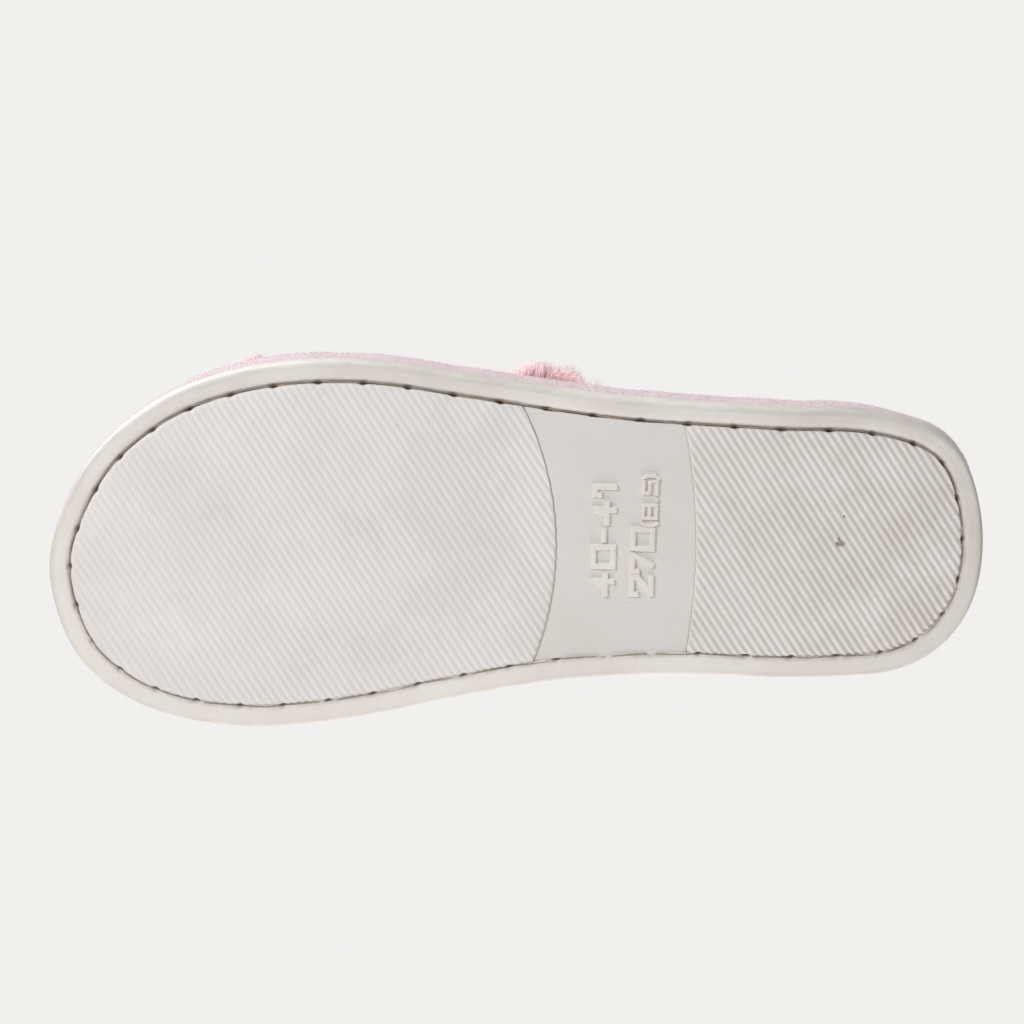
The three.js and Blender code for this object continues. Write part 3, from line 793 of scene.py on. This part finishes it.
# The numerals are painted lighter than the arch panel: a painted highlight on the raised strokes.
highlighted_numeral_paint = arch_rubber("numeral_rubber", (234, 229, 226), 0.03)
numerals("size_numerals", "40-41", 5.7, 1.8, np.array([-14.6, TOE_Y + 162.9]))
numerals("length_numerals", "270", 5.6, 1.8, np.array([-14.4, TOE_Y + 174.1]))
numerals("small_numerals", "(8.5)", 3.8, 1.1, np.array([5.9, TOE_Y + 175.5]))

# %% [markdown]
# ## Sole seam
# One thread lies in the groove under the sole and another in the channel round the footbed. They lock
# where they pass through the needle holes, so each is a tube along the outline that dips at every
# hole. Two plies wound round each other would be finer than anyone can see here, so they are a bump.

# %% Threads


def thread_material(name, light, dark):
    """Twisted thread: slanting plies from the surface map, which counts millimetres along it."""
    material, tree, bsdf, place = new_material(name, 0.8)
    uv = add_node(tree, "UVMap", uv_map="surface").outputs[0]
    twist = add_node(tree, "TexWave", Vector=uv, Scale=0.55, wave_type="BANDS", bands_direction="DIAGONAL")
    plies = bumped(tree, twist.outputs["Fac"], 0.6, 0.0002)
    dress(tree, bsdf, mottled(tree, place, light, dark, 240.0), plies)
    return material


def seam_thread(name, slot, node, inset, height, dip, slope, radius, materials):
    """A tube along the outline: it runs at the given height, dips into each needle hole, and follows the
    groove where that gets shallow."""
    angle = np.arange(THREAD_SIDES) * 2 * np.pi / THREAD_SIDES
    middle = height + dip * np.exp(-((from_hole / DIP_LENGTH) ** 2)) + slope * (OPEN - 1)
    across = inset + WIDER + 0.12 * np.sin(along / 3.1)
    rings = sweep(across[:, None] + radius * np.cos(angle), middle[:, None] + radius * np.sin(angle))
    uv = np.stack(np.broadcast_arrays(along[:, None], angle * 2 * radius), -1)
    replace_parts(loft(name, slot, rings, materials, closed=True, uv=uv), node)


THREAD_SIDES = 8
DIP_LENGTH = 1.3  # mm along the seam
off_white = thread_material("off_white_thread", (176, 163, 149), (140, 126, 113))
pink = thread_material("pink_thread", (236, 205, 210), (214, 178, 186))
on_footbed = WRAP_TOP + 0.35
seam_thread("needle_thread", "sole_thread", "sole_needle_thread", 5.62, 1.35, 1.1, 1.0, 0.32, off_white)
seam_thread("footbed_thread", "seam_thread", "sole_bobbin_thread", 5.8, on_footbed, -1.0, 0.0, 0.45, pink)

# %% [markdown]
# ## Crowds of fibres
# Plush and fur only look soft when light gets between their fibres and when their outline is broken.
# Bump alone can't do that, so the naps and piles here are real fibres. Each fibre of a nap is a thin
# pyramid. Its root is a random spot, picked by area so that the nap is even, on a grid of points.

# %% Scattering fibres
rng = np.random.default_rng(4041)


def scatter(grid, count, closed=False):
    """Random places on a grid surface, even by area, and the normals there."""
    if closed:
        grid = np.concatenate([grid, grid[:1]])
    a, b, c, d = grid[:-1, :-1], grid[1:, :-1], grid[1:, 1:], grid[:-1, 1:]
    cross = np.cross(c - a, d - b)
    area = np.linalg.norm(cross, axis=-1).ravel()
    cell = np.searchsorted(np.cumsum(area) / area.sum(), rng.random(count)).clip(0, len(area) - 1)
    i, j = np.divmod(cell, grid.shape[1] - 1)
    u, v = rng.random((2, count, 1))
    point = (a[i, j] * (1 - u) + b[i, j] * u) * (1 - v) + (d[i, j] * (1 - u) + c[i, j] * u) * v
    normal = cross[i, j] / np.maximum(area[cell], 1e-9)[:, None]
    return point, normal


def unit(v):
    """Vectors at length 1."""
    return v / np.maximum(np.linalg.norm(v, axis=-1, keepdims=True), 1e-9)


def nap(name, slot, root, normal, length, radius, lean, materials):
    """Short fibres: each is a pyramid on three base points round its root, and its tip leans by a
    random amount and along lean."""
    count = len(root)
    length = length * rng.uniform(0.6, 1.15, (count, 1))
    way = unit(normal + lean + rng.normal(0, 0.38, (count, 3)))
    side = unit(np.cross(way, rng.normal(0, 1, (count, 3))))
    other = np.cross(way, side)
    turn = (np.arange(3) * 2 * np.pi / 3)[None, :, None]
    base = root[:, None] + radius * (np.cos(turn) * side[:, None] + np.sin(turn) * other[:, None])
    points = np.concatenate([base - 0.15 * way[:, None], (root + way * length)[:, None]], 1).reshape(-1, 3)
    first = np.arange(count)[:, None] * 4
    triangles = np.concatenate([first + np.array(t) for t in ([0, 1, 3], [1, 2, 3], [2, 0, 3], [0, 2, 1])])
    tint = np.tile(rng.integers(0, len(materials), count), 4)
    make_piece(name, slot, points, [], triangles, materials, faces_material=tint)


def pile(name, slot, root, control, tip, radius, tint, materials):
    """Long fibres: each follows root, control, tip as a quadratic curve, as three-sided rings that
    narrow to a point. The materials are in groups of three: root, middle and tip of each tint."""
    count, rings = len(root), 3
    t = np.array([0.0, 0.36, 0.7, 1.0])[None, :, None]
    path = root[:, None] * (1 - t) ** 2 + 2 * control[:, None] * t * (1 - t) + tip[:, None] * t**2
    way = unit(path[:, 1:] - path[:, :-1])
    side = unit(np.cross(way, rng.normal(0, 1, (count, 1, 3))))
    other = np.cross(way, side)
    turn = (np.arange(3) * 2 * np.pi / 3)[None, None, :, None]
    width = radius[:, None, None, None] * np.array([1.0, 0.95, 0.7])[None, :, None, None]
    rim = path[:, :rings, None] + width * (np.cos(turn) * side[:, :, None] + np.sin(turn) * other[:, :, None])
    points = np.concatenate([rim.reshape(count, -1, 3), path[:, -1:]], 1).reshape(-1, 3)
    first = np.arange(count)[:, None] * (3 * rings + 1)
    quads, shade = [], []
    for r in range(rings - 1):
        for k in range(3):
            a, b = 3 * r + k, 3 * r + (k + 1) % 3
            quads.append(first + np.array([a, b, b + 3, a + 3]))
            shade.append(tint * 3 + r)
    last = 3 * (rings - 1)
    ends = [[last, last + 1, last + 3], [last + 1, last + 2, last + 3], [last + 2, last, last + 3], [0, 2, 1]]
    triangles = np.concatenate([first + np.array(t) for t in ends])
    shade = np.concatenate(shade + [tint * 3 + 2] * 3 + [tint * 3])
    return make_piece(name, slot, points, np.concatenate(quads), triangles, materials, faces_material=shade)


# %% [markdown]
# ## Plush wrap
# The wrap is a strip of short plush, pulled over the foam and stitched in at the top and under the
# sole. Pulled cloth bulges a little, and more at the big-toe side of the ball, where it stands out
# past the rubber. It is a section swept round the outline, with a nap on its outer face.

# %% Wrap
WRAP_SECTION = [
    (2.7, SOLE_TOP + 0.42), (1.2, SOLE_TOP + 0.36), (0.3, SOLE_TOP + 0.42), (-0.1, SOLE_TOP + 1.3),
    (-0.35, SOLE_TOP + 3.2), (-0.4, SOLE_TOP + 5.6), (-0.25, SOLE_TOP + 8.0), (0.2, SOLE_TOP + 10.0),
    (1.1, WRAP_TOP - 0.5), (2.1, WRAP_TOP + 0.1), (3.2, WRAP_TOP), (3.95, WRAP_TOP - 0.8),
    (3.7, WRAP_TOP - 2.2), (2.6, WRAP_TOP - 2.6), (1.9, WRAP_TOP - 5.0), (1.8, SOLE_TOP + 2.6),
]  # fmt: skip
OVERHANG = 2.5  # extra bulge past the rubber beside the big-toe joint
BULGE_START, BULGE_RISE, BULGE_FADE, BULGE_END = 2, 34, 44, 118  # mm behind the toe, and along it
TUCK = 2.3  # how far the top leans in round the toe and the heel
TOE_TUCK_END, HEEL_TUCK_START, TUCK_RISE = 52, 222, 34
SECTION_POINTS = 40
OUTER_FACE = slice(3, 28)  # the points of the section that are seen and carry the nap
WRAP_FIBRES, WRAP_FIBRE_LENGTH, WRAP_FIBRE_RADIUS = 48000, 0.42, 0.09


def wrap_finish():
    """Short plush: pink, with painted light that turns it pale peach low down on the big-toe side."""
    material, tree, bsdf, place = new_material("wrap_plush", 0.95)
    cool = mottled(tree, place, (222, 207, 211), (215, 198, 204), 60.0)
    lit_peach = mottled(tree, place, (253, 240, 232), (248, 231, 221), 60.0)
    x, _, z = axes(tree, place)
    # Painted light: the peach lies low down on the big-toe side, picked out by x and height.
    share = calculate(tree, "MULTIPLY", ramp(tree, x, -0.026, -0.044), ramp(tree, z, 0.019, 0.011))
    dress(tree, bsdf, mix_colours(tree, share, cool, lit_peach), grained(tree, place, 1100.0, 0.8))
    return material


section = through(WRAP_SECTION, SECTION_POINTS)
inset, height = hoop_section(section)
beside = inset_outline(0)
from_toe = beside[:, 1] - TOE_Y
bulge = smoothstep((from_toe - BULGE_START) / BULGE_RISE) * smoothstep((BULGE_END - from_toe) / BULGE_FADE)
outer = np.clip((1.6 - inset) / 2.2, 0, 1)
inset -= (OVERHANG * bulge * (beside[:, 0] < 0))[:, None] * outer
ends = smoothstep((TOE_TUCK_END - from_toe) / TUCK_RISE)
ends += smoothstep((from_toe - HEEL_TUCK_START) / TUCK_RISE)
inset += TUCK * ends[:, None] * outer * smoothstep((height - SOLE_TOP - 0.5) / 9)
puckers = 0.10 * np.sin(along / 4.3) + 0.07 * np.sin(along / 2.6 + 2) + 0.14 * np.sin(along / 15.0)
inset += puckers[:, None] * outer
wrap_grid = sweep(inset, height)
wrap = loft("wrap_plush", "wrap_plush", wrap_grid, wrap_finish(), closed=True)
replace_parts(wrap, "platform_wrap")

# %% Nap of the wrap
cool_nap = fibre_shades("wrap_nap", light=(234, 219, 224), middle=(230, 213, 219), deep=(225, 206, 213))
# Painted light: pale peach shades for the nap low down on the big-toe side.
lit_peach_nap = fibre_shades("wrap_nap_lit_peach", light=(255, 242, 234), middle=(253, 238, 229), deep=(249, 231, 221))
point, normal = scatter(wrap_grid[:, OUTER_FACE], WRAP_FIBRES, closed=True)
if np.einsum("ij,ij->i", normal, point * [1, 1, 0]).sum() < 0:
    normal = -normal
# Fibres low down on the big-toe side take the peach shades, as painted light.
lit_peach = smoothstep((-point[:, 0] - 28) / 16) * smoothstep((19 - point[:, 2]) / 8) > rng.random(len(point))
fibre = WRAP_FIBRE_LENGTH, WRAP_FIBRE_RADIUS, np.array([0, 0, -0.25])
for name, some, finishes in (("wrap_nap", ~lit_peach, cool_nap), ("wrap_nap_lit_peach", lit_peach, lit_peach_nap)):
    nap(name, "wrap_plush", point[some], normal[some], *fibre, finishes)

# %% [markdown]
# ## Footbed
# The sock is a plush sheet over a foam cushion. The sole seam presses a channel into it near its edge,
# and pulls it down at every needle hole, so the plush swells between the holes. Its height depends
# only on the distance from the outline and from the nearest hole.

# %% Sock
SOCK_EDGE = 4.2
SOCK_CHORDS, SOCK_CHORD_STEPS = 330, 64
SOCK_FIBRES, SOCK_FIBRE_LENGTH, SOCK_FIBRE_RADIUS = 49000, 1.2, 0.12
SEAM_START, SEAM_END = 5.0, 6.7  # the stretch under the seam's thread, which has no fibres
SOCK_FACE = [
    (4.2, -0.8), (4.7, -0.15), (5.3, -0.1), (6.6, -0.1), (7.3, 0.8), (8.2, 1.9), (9.6, 2.8), (11.5, 3.25),
    (14.5, 3.5), (60, 3.5),
]  # fmt: skip
SOCK_BACK = [(4.2, -2.7), (7.3, -2.6), (8.2, -0.1), (11.1, 0.8), (60, 0.8)]


def nearest_edge(x, y):
    """Distance from each point to the outline, and from the needle hole nearest to it."""
    ring, holes = edge[::2], from_hole[::2]
    spots = (x + 1j * y).ravel()
    near = np.concatenate([np.abs(part[:, None] - ring).argmin(1) for part in np.array_split(spots, 12)])
    return np.abs(spots - ring[near]).reshape(x.shape), np.abs(holes[near]).reshape(x.shape)


def sock_face(place, at, from_end):
    """Height of the sock's top, with a swelling between the needle holes and a foot-worn middle."""
    inset, hole = nearest_edge(at, -place + 0 * at)
    height = WRAP_TOP + np.interp(inset, *np.array(SOCK_FACE).T)
    height += 0.32 * (smoothstep(hole / 5.0) - 0.5) * np.exp(-(((inset - 9.0) / 2.6) ** 2))
    return height - 0.35 * smoothstep((inset - 14) / 16) + 0.12 * np.sin(at / 8.0) * np.sin(place / 11.0)


def sock_back(place, at, from_end):
    """Height of the sock's underside, over the cushion."""
    inset, _ = nearest_edge(at, -place + 0 * at)
    return WRAP_TOP + np.interp(inset, *np.array(SOCK_BACK).T)


sock_plush = cloth_material("sock_plush", (246, 232, 234), (240, 222, 226), 45.0, 1000.0, 0.9)
region = inset_outline(SOCK_EDGE)
places = np.linspace(-region[:, 1].max() + 0.05, -region[:, 1].min() - 0.05, SOCK_CHORDS)
crosswise = np.array([1.0, 0.0])
lines = places, *chords(region, crosswise, places)
sock, sock_grid = plate(
    "sock_plush", "sock_plush", crosswise, *lines, SOCK_CHORD_STEPS, sock_face, sock_back, sock_plush
)
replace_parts(sock, "sock_cover")

sock_shades = fibre_shades("sock_nap", light=(249, 238, 240), middle=(247, 234, 237), deep=(244, 229, 233))
point, normal = scatter(sock_grid, SOCK_FIBRES)
normal *= np.sign(normal[:, 2:])
inset, _ = nearest_edge(point[:, 0], point[:, 1])
clear = (inset < SEAM_START) | (inset > SEAM_END)
fibre = SOCK_FIBRE_LENGTH, SOCK_FIBRE_RADIUS, np.array([0.12, 0.3, 0])
nap("sock_nap", "sock_plush", point[clear], normal[clear], *fibre, sock_shades)

# %% [markdown]
# ## Two crossing bands
# Each band is an arch over the foot. It starts further forward on one side than on the other, so the
# two of them cross, and where they cross the upper one rides over the lower one. Every layer of a
# band is the same arch at another height: lining, foam, a taped edge on both sides, and the pile.

# %% The arch that the bands follow
LIP_WIDTH = 3.9
ARCH_FRONT, ARCH_SLOPE, ARCH_LEAN = 33.0, 0.136, 5.0
SIDES_IN, LESS_BEHIND = 0.24, 0.20  # how far the arch's sides lean in, and how much less further back
BANDS = {"upper": (142.0, 70.0), "lower": (76.0, 135.0)}  # mm behind the toe: little-toe side, big-toe side
WIDTH_AT_SOLE, WIDTH_ON_TOP = 48.0, 42.0
LINING, FOAM, PRESSED_PILE, GAP = 1.0, 2.7, 3.0, 0.3
ON_FOAM = LINING + FOAM
CROSSING_RISE = ON_FOAM + PRESSED_PILE + 4 * GAP


def side_edge(side, toe):
    """x of the outline on one side (1 little-toe, -1 big-toe), at a distance behind the toe."""
    ring = inset_outline(0)
    ring = ring[outward.real * side > 0.15]
    ring = ring[np.argsort(ring[:, 1])]
    return np.interp(toe, ring[:, 1] - TOE_Y, ring[:, 0])


def arch_point(angle, toe):
    """The inside of the arch: angle goes from 0 at the little-toe base to pi at the big-toe base."""
    lateral, medial = side_edge(1, toe) - LIP_WIDTH, side_edge(-1, toe) + LIP_WIDTH
    lean = SIDES_IN - LESS_BEHIND * smoothstep((toe - 80) / 70)
    up = np.sin(angle)
    x = (lateral + medial) / 2 + (lateral - medial) / 2 * np.cos(angle) * (1 - lean * up) - ARCH_LEAN * up
    z = BAND_BASE + (ARCH_FRONT + ARCH_SLOPE * (toe - 50)) * up
    return np.stack([x, TOE_Y + toe, z], -1)


def from_base(angle):
    """The angle up from the nearer base of the arch."""
    return np.minimum(angle, np.pi - angle)


def arch_normal(angle, toe):
    """Outward normal of the arch, level at the sole, because a band stands upright there."""
    before, after = np.maximum(angle - 0.01, 0), np.minimum(angle + 0.01, np.pi)
    round_arch = arch_point(after, toe) - arch_point(before, toe)
    lengthwise = arch_point(angle, toe + 1) - arch_point(angle, toe - 1)
    normal = unit(np.cross(lengthwise, round_arch))
    normal[..., 2] *= smoothstep(from_base(angle) / 0.3)
    return unit(normal)


def band_middle(band, angle):
    """Where the middle of a band is, in mm behind the toe."""
    lateral, medial = BANDS[band]
    return lateral + (medial - lateral) * (1 - np.cos(angle)) / 2


def band_width(angle):
    """Width of a band at an angle round the arch."""
    return WIDTH_AT_SOLE + (WIDTH_ON_TOP - WIDTH_AT_SOLE) * np.sin(angle)


def on_band(band, angle, toe):
    """1 where a place on the arch is on the band, falling to 0 beside it and towards the sole."""
    past = np.abs(toe - band_middle(band, angle)) - band_width(angle) / 2 - 6
    return smoothstep(1 - past / 24) * smoothstep((from_base(angle) - 0.15) / 0.45)


def band_point(band, angle, across, stuff, gaps=0.0):
    """A point of a band: across from its middle, on top of so much cloth and foam, and gaps."""
    angle, across, stuff = np.broadcast_arrays(angle, across, stuff)
    toe = band_middle(band, angle) + across
    squeeze = 0.42 + 0.58 * smoothstep(from_base(angle) / 0.75)
    rise = 0.0
    if band == "upper":
        rise = CROSSING_RISE * on_band("lower", angle, toe)
    else:
        pressed = on_band("upper", angle, toe) * (stuff > ON_FOAM)
        stuff = stuff + (np.minimum(stuff, ON_FOAM + PRESSED_PILE * 0.5) - stuff) * pressed
    out = stuff * squeeze + gaps * GAP + rise
    return arch_point(angle, toe) + arch_normal(angle, toe) * out[..., None]


# %% Linings, taped edges and pile backing
ARCH_STEPS, SLAB_STEPS = 120, 31
angles = np.linspace(0, np.pi, ARCH_STEPS + 1)[:, None]
lining_plush = cloth_material("lining_plush", (246, 230, 232), (239, 219, 223), 50.0, 1300.0, 1.0)
binding_cloth = cloth_material("binding_cloth", (236, 208, 213), (226, 192, 199), 90.0, 2200.0, 0.7)
pile_backing = cloth_material("pile_backing", (244, 216, 214), (234, 199, 197), 120.0, 1500.0, 1.0)
TAPE_SECTION = [
    (5.2, -0.12), (5.3, -0.4), (5.1, -0.65), (1.4, -0.72), (0.2, -0.5), (-0.4, 0.3), (-0.5, 1.6),
    (-0.45, 3.0), (0.1, 3.8), (1.0, 3.95), (1.22, 3.4), (1.2, 1.0), (1.35, -0.1),
]  # fmt: skip
TAPE_POINTS = 34


def band_slab(band, label, slot, margin, low, high, gaps, materials):
    """A layer of a band: a thin closed slab that stops margin short of the edges, crowned at them."""
    share = np.linspace(-1, 1, SLAB_STEPS)[None]
    across = share * (band_width(angles) / 2 - margin)
    crown = 0.35 + 0.65 * (1 - np.abs(share) ** 6)
    under = band_point(band, angles, across, low, gaps)
    over = band_point(band, angles, across, low + (high - low) * crown, gaps)
    return loft(f"{band}_band_{label}", slot, np.concatenate([under[:, ::-1], over], 1), materials), over


def taped_edge(band, side, label):
    """Tape folded round one edge of a band: side is -1 for the front edge and 1 for the rear one."""
    section = through(TAPE_SECTION, TAPE_POINTS)[None]
    across = side * (band_width(angles) / 2 - section[..., 0])
    rings = band_point(band, angles, across, section[..., 1])
    tape = loft(f"{band}_band_{label}_tape", "binding_tape", rings, binding_cloth)
    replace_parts(tape, f"{band}_band_{label}_binding")


for band in BANDS:
    lining, face = band_slab(band, "lining_plush", "lining_plush", 1.5, 0.0, LINING, 0, lining_plush)
    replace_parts(lining, f"{band}_band_lining")
    taped_edge(band, -1, "front")
    taped_edge(band, 1, "rear")
    backing, _ = band_slab(band, "pile_backing", "long_pile", -0.3, ON_FOAM, ON_FOAM + 1.6, 2, pile_backing)
    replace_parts(backing, f"{band}_band_pile_shell")

# %% [markdown]
# ## Long pile
# The bands' outer side is long, loose pile that lies in locks. Each fibre grows from the backing along
# its normal, leans where its lock leans, and gathers towards the lock's middle at its tip. A lock
# is a random centre, and a fibre belongs to the nearest one. Fibres near the edges splay outwards.

# %% Fur of the bands
FIBRES_IN_PIECE, PIECES_IN_BAND = 9200, 3
FIBRES_IN_TUFTS, TUFT_TOP = 5200, 0.5  # tufts reach this angle up the arch
TRIES = 12  # places tried for each fibre
LOCKS = 1000
PILE_LENGTH, ROOT_HEIGHT = 11.0, 1.2
ARCH_RADIUS, HALF_BAND = 48.0, 22.0  # turn an angle and a share of the width into mm
NEAR_BASE = 0.3
SEWN_FLAT = 0.95
CURL, TUFT_CURL, TUFT_THINNESS = 0.25, 0.9, 0.62
UP = np.array([0.0, 0.0, 1.0])
TUFTS = [(59.0, 3.5, 0.34), (120.0, 2.5, 0.05), (144.0, 8.0, 0.95)]  # place behind the toe, spread, size

# The root shades are darker and redder than the tips: painted shade deep in the pile.
fur = fibre_shades(
    "fur",
    root=(241, 203, 206), middle=(246, 215, 218), tip=(248, 226, 228),
    pale_root=(244, 211, 214), pale_middle=(248, 221, 223), pale_tip=(250, 232, 233),
)  # fmt: skip


def tufts(toe):
    """How far the pile stands out over the little-toe side of the wrap: 1 in a tuft, 0 where the sewing
    holds it flat against the band."""
    bumps = [size * np.exp(-(((toe - middle) / spread) ** 2)) for middle, spread, size in TUFTS]
    return np.clip(sum(bumps), 0, 1)


def fibre_places(band, count, only_tufts):
    """Where the fibres of a band grow, as angles and shares of its half width. The lower band is bare
    where the upper one lies on it, and tufts grow only where the pile stands out."""
    angle = rng.uniform(0.0, TUFT_TOP if only_tufts else np.pi, TRIES * count)
    share = rng.uniform(-1, 1, TRIES * count)
    toe = band_middle(band, angle) + share * band_width(angle) / 2
    under = np.abs(toe - band_middle("upper", angle)) < band_width(angle) / 2 - 2
    wanted = ~(under & (from_base(angle) > NEAR_BASE) & (band == "lower"))
    if only_tufts:
        wanted &= tufts(toe) > rng.uniform(0.1, 0.8, len(toe))
    keep = np.where(wanted)[0][:count]
    return angle[keep], share[keep]


def band_fur(band, count, only_tufts=False):
    """Roots, control points, tips, radii and tints of the fibres of one band."""
    angle, share = fibre_places(band, count, only_tufts)
    across = share * (band_width(angle) / 2 + 0.2)
    toe = band_middle(band, angle) + across
    root = band_point(band, angle, across, ON_FOAM + ROOT_HEIGHT * (1 - np.abs(share) ** 6) + 0.2, 2)
    normal = arch_normal(angle, toe)

    # Every fibre belongs to its nearest lock, and leans and grows as that lock does.
    lock_angle, lock_share = rng.uniform(0, np.pi, LOCKS), rng.uniform(-1, 1, LOCKS)
    round_arch, sideways = angle[:, None] - lock_angle, share[:, None] - lock_share
    mine = ((round_arch * ARCH_RADIUS) ** 2 + (sideways * HALF_BAND) ** 2).argmin(1)
    lock_across = lock_share * band_width(lock_angle) / 2
    lock_root = band_point(band, lock_angle, lock_across, ON_FOAM + ROOT_HEIGHT, 2)
    lean, size = rng.normal(0, 0.42, (LOCKS, 3)), rng.uniform(0.75, 1.15, LOCKS)

    # Near its base the pile is sewn flat, pointing up, except in the tufts.
    low = 1 - smoothstep((from_base(angle) - NEAR_BASE) / 0.5)
    flattened = (low * (1 - np.where(angle < 1.5, tufts(toe), 0.4)))[:, None]
    splay = np.sign(share) * smoothstep((np.abs(share) - 0.55) / 0.45) * (1 - 0.8 * low)
    way = normal + 0.75 * lean[mine] + rng.normal(0, 0.16, normal.shape)
    way[:, 1] += 0.9 * splay
    way = unit(unit(way) * (1 - SEWN_FLAT * flattened) + (UP - 0.3 * normal) * flattened)

    # The pile is shorter near its base, beside the crossing and at the upper band's front edge.
    length = PILE_LENGTH * size[mine] * rng.uniform(0.72, 1.05, len(mine)) * (1 - 0.4 * low)
    if band == "lower":
        length *= 1 - 0.6 * on_band("upper", angle, toe)
    else:
        length[(share < -0.4) & (angle < 1.2)] *= 0.6

    # A fibre starts along the normal, then bends its lock's way, droops, and gathers at the tip.
    curl = TUFT_CURL if only_tufts else CURL
    control = root + 0.5 * length[:, None] * unit(normal * (1 - SEWN_FLAT * flattened) + 0.5 * way)
    control += rng.normal(0, curl, control.shape)
    tip = root + length[:, None] * (0.92 * way - 0.11 * UP) + 0.45 * (lock_root[mine] - root)
    tip += rng.normal(0, 0.7 * curl, tip.shape)
    tip[:, 2] = np.maximum(tip[:, 2], WRAP_TOP - 1.5)
    radius = (TUFT_THINNESS if only_tufts else 1.0) * rng.uniform(0.11, 0.19, len(mine))
    return root, control, tip, radius, rng.integers(0, 2, LOCKS)[mine]


for band in BANDS:
    for part in range(PIECES_IN_BAND):
        piece = pile(f"{band}_band_fur_{part + 1}", "long_pile", *band_fur(band, FIBRES_IN_PIECE), fur)
        piece.visible_shadow = part == 0  # fine pile lets most of the light through
    piece = pile(f"{band}_band_tufts", "long_pile", *band_fur(band, FIBRES_IN_TUFTS, True), fur)
    piece.visible_shadow = False

# %% [markdown]
# ## Inner parts
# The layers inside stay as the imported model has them. They hardly show, but each one still gets its
# own finish: open-cell foam, grey felt, brown fibre board and twisted thread.

# %% Finishes of the inner parts


def foam_material(name, light, dark):
    """Open-cell foam: mottled, and pitted by small round cells."""
    material, tree, bsdf, place = new_material(name, 0.9)
    cells = add_node(tree, "TexVoronoi", Vector=place, Scale=1400.0).outputs["Distance"]
    dress(tree, bsdf, mottled(tree, place, light, dark, 70.0), bumped(tree, cells, 0.7, 0.0004))
    return material


band_foam = foam_material("band_foam", (246, 241, 226), (234, 227, 208))
edge_thread = cloth_material("edge_thread", (238, 208, 213), (218, 182, 189), 700.0, 2600.0, 0.8)
inner_finishes = {
    "bottom_filler": cloth_material("filler_felt", (176, 172, 166), (146, 142, 137), 80.0, 1600.0, 0.9),
    "platform": foam_material("platform_foam", (238, 234, 222), (224, 218, 203)),
    "insole_board": cloth_material("fibre_board", (186, 158, 124), (160, 131, 98), 60.0, 1900.0, 0.4),
    "cushion_foam": foam_material("cushion_foam", (240, 226, 214), (228, 210, 196)),
    "top_edge_seam_thread": edge_thread,
    "upper_band_foam": band_foam,
    "lower_band_foam": band_foam,
}
for node, finish in inner_finishes.items():
    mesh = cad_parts[node].data
    mesh.materials.clear()
    mesh.materials.append(finish)
print("inner finishes:", ", ".join(inner_finishes))
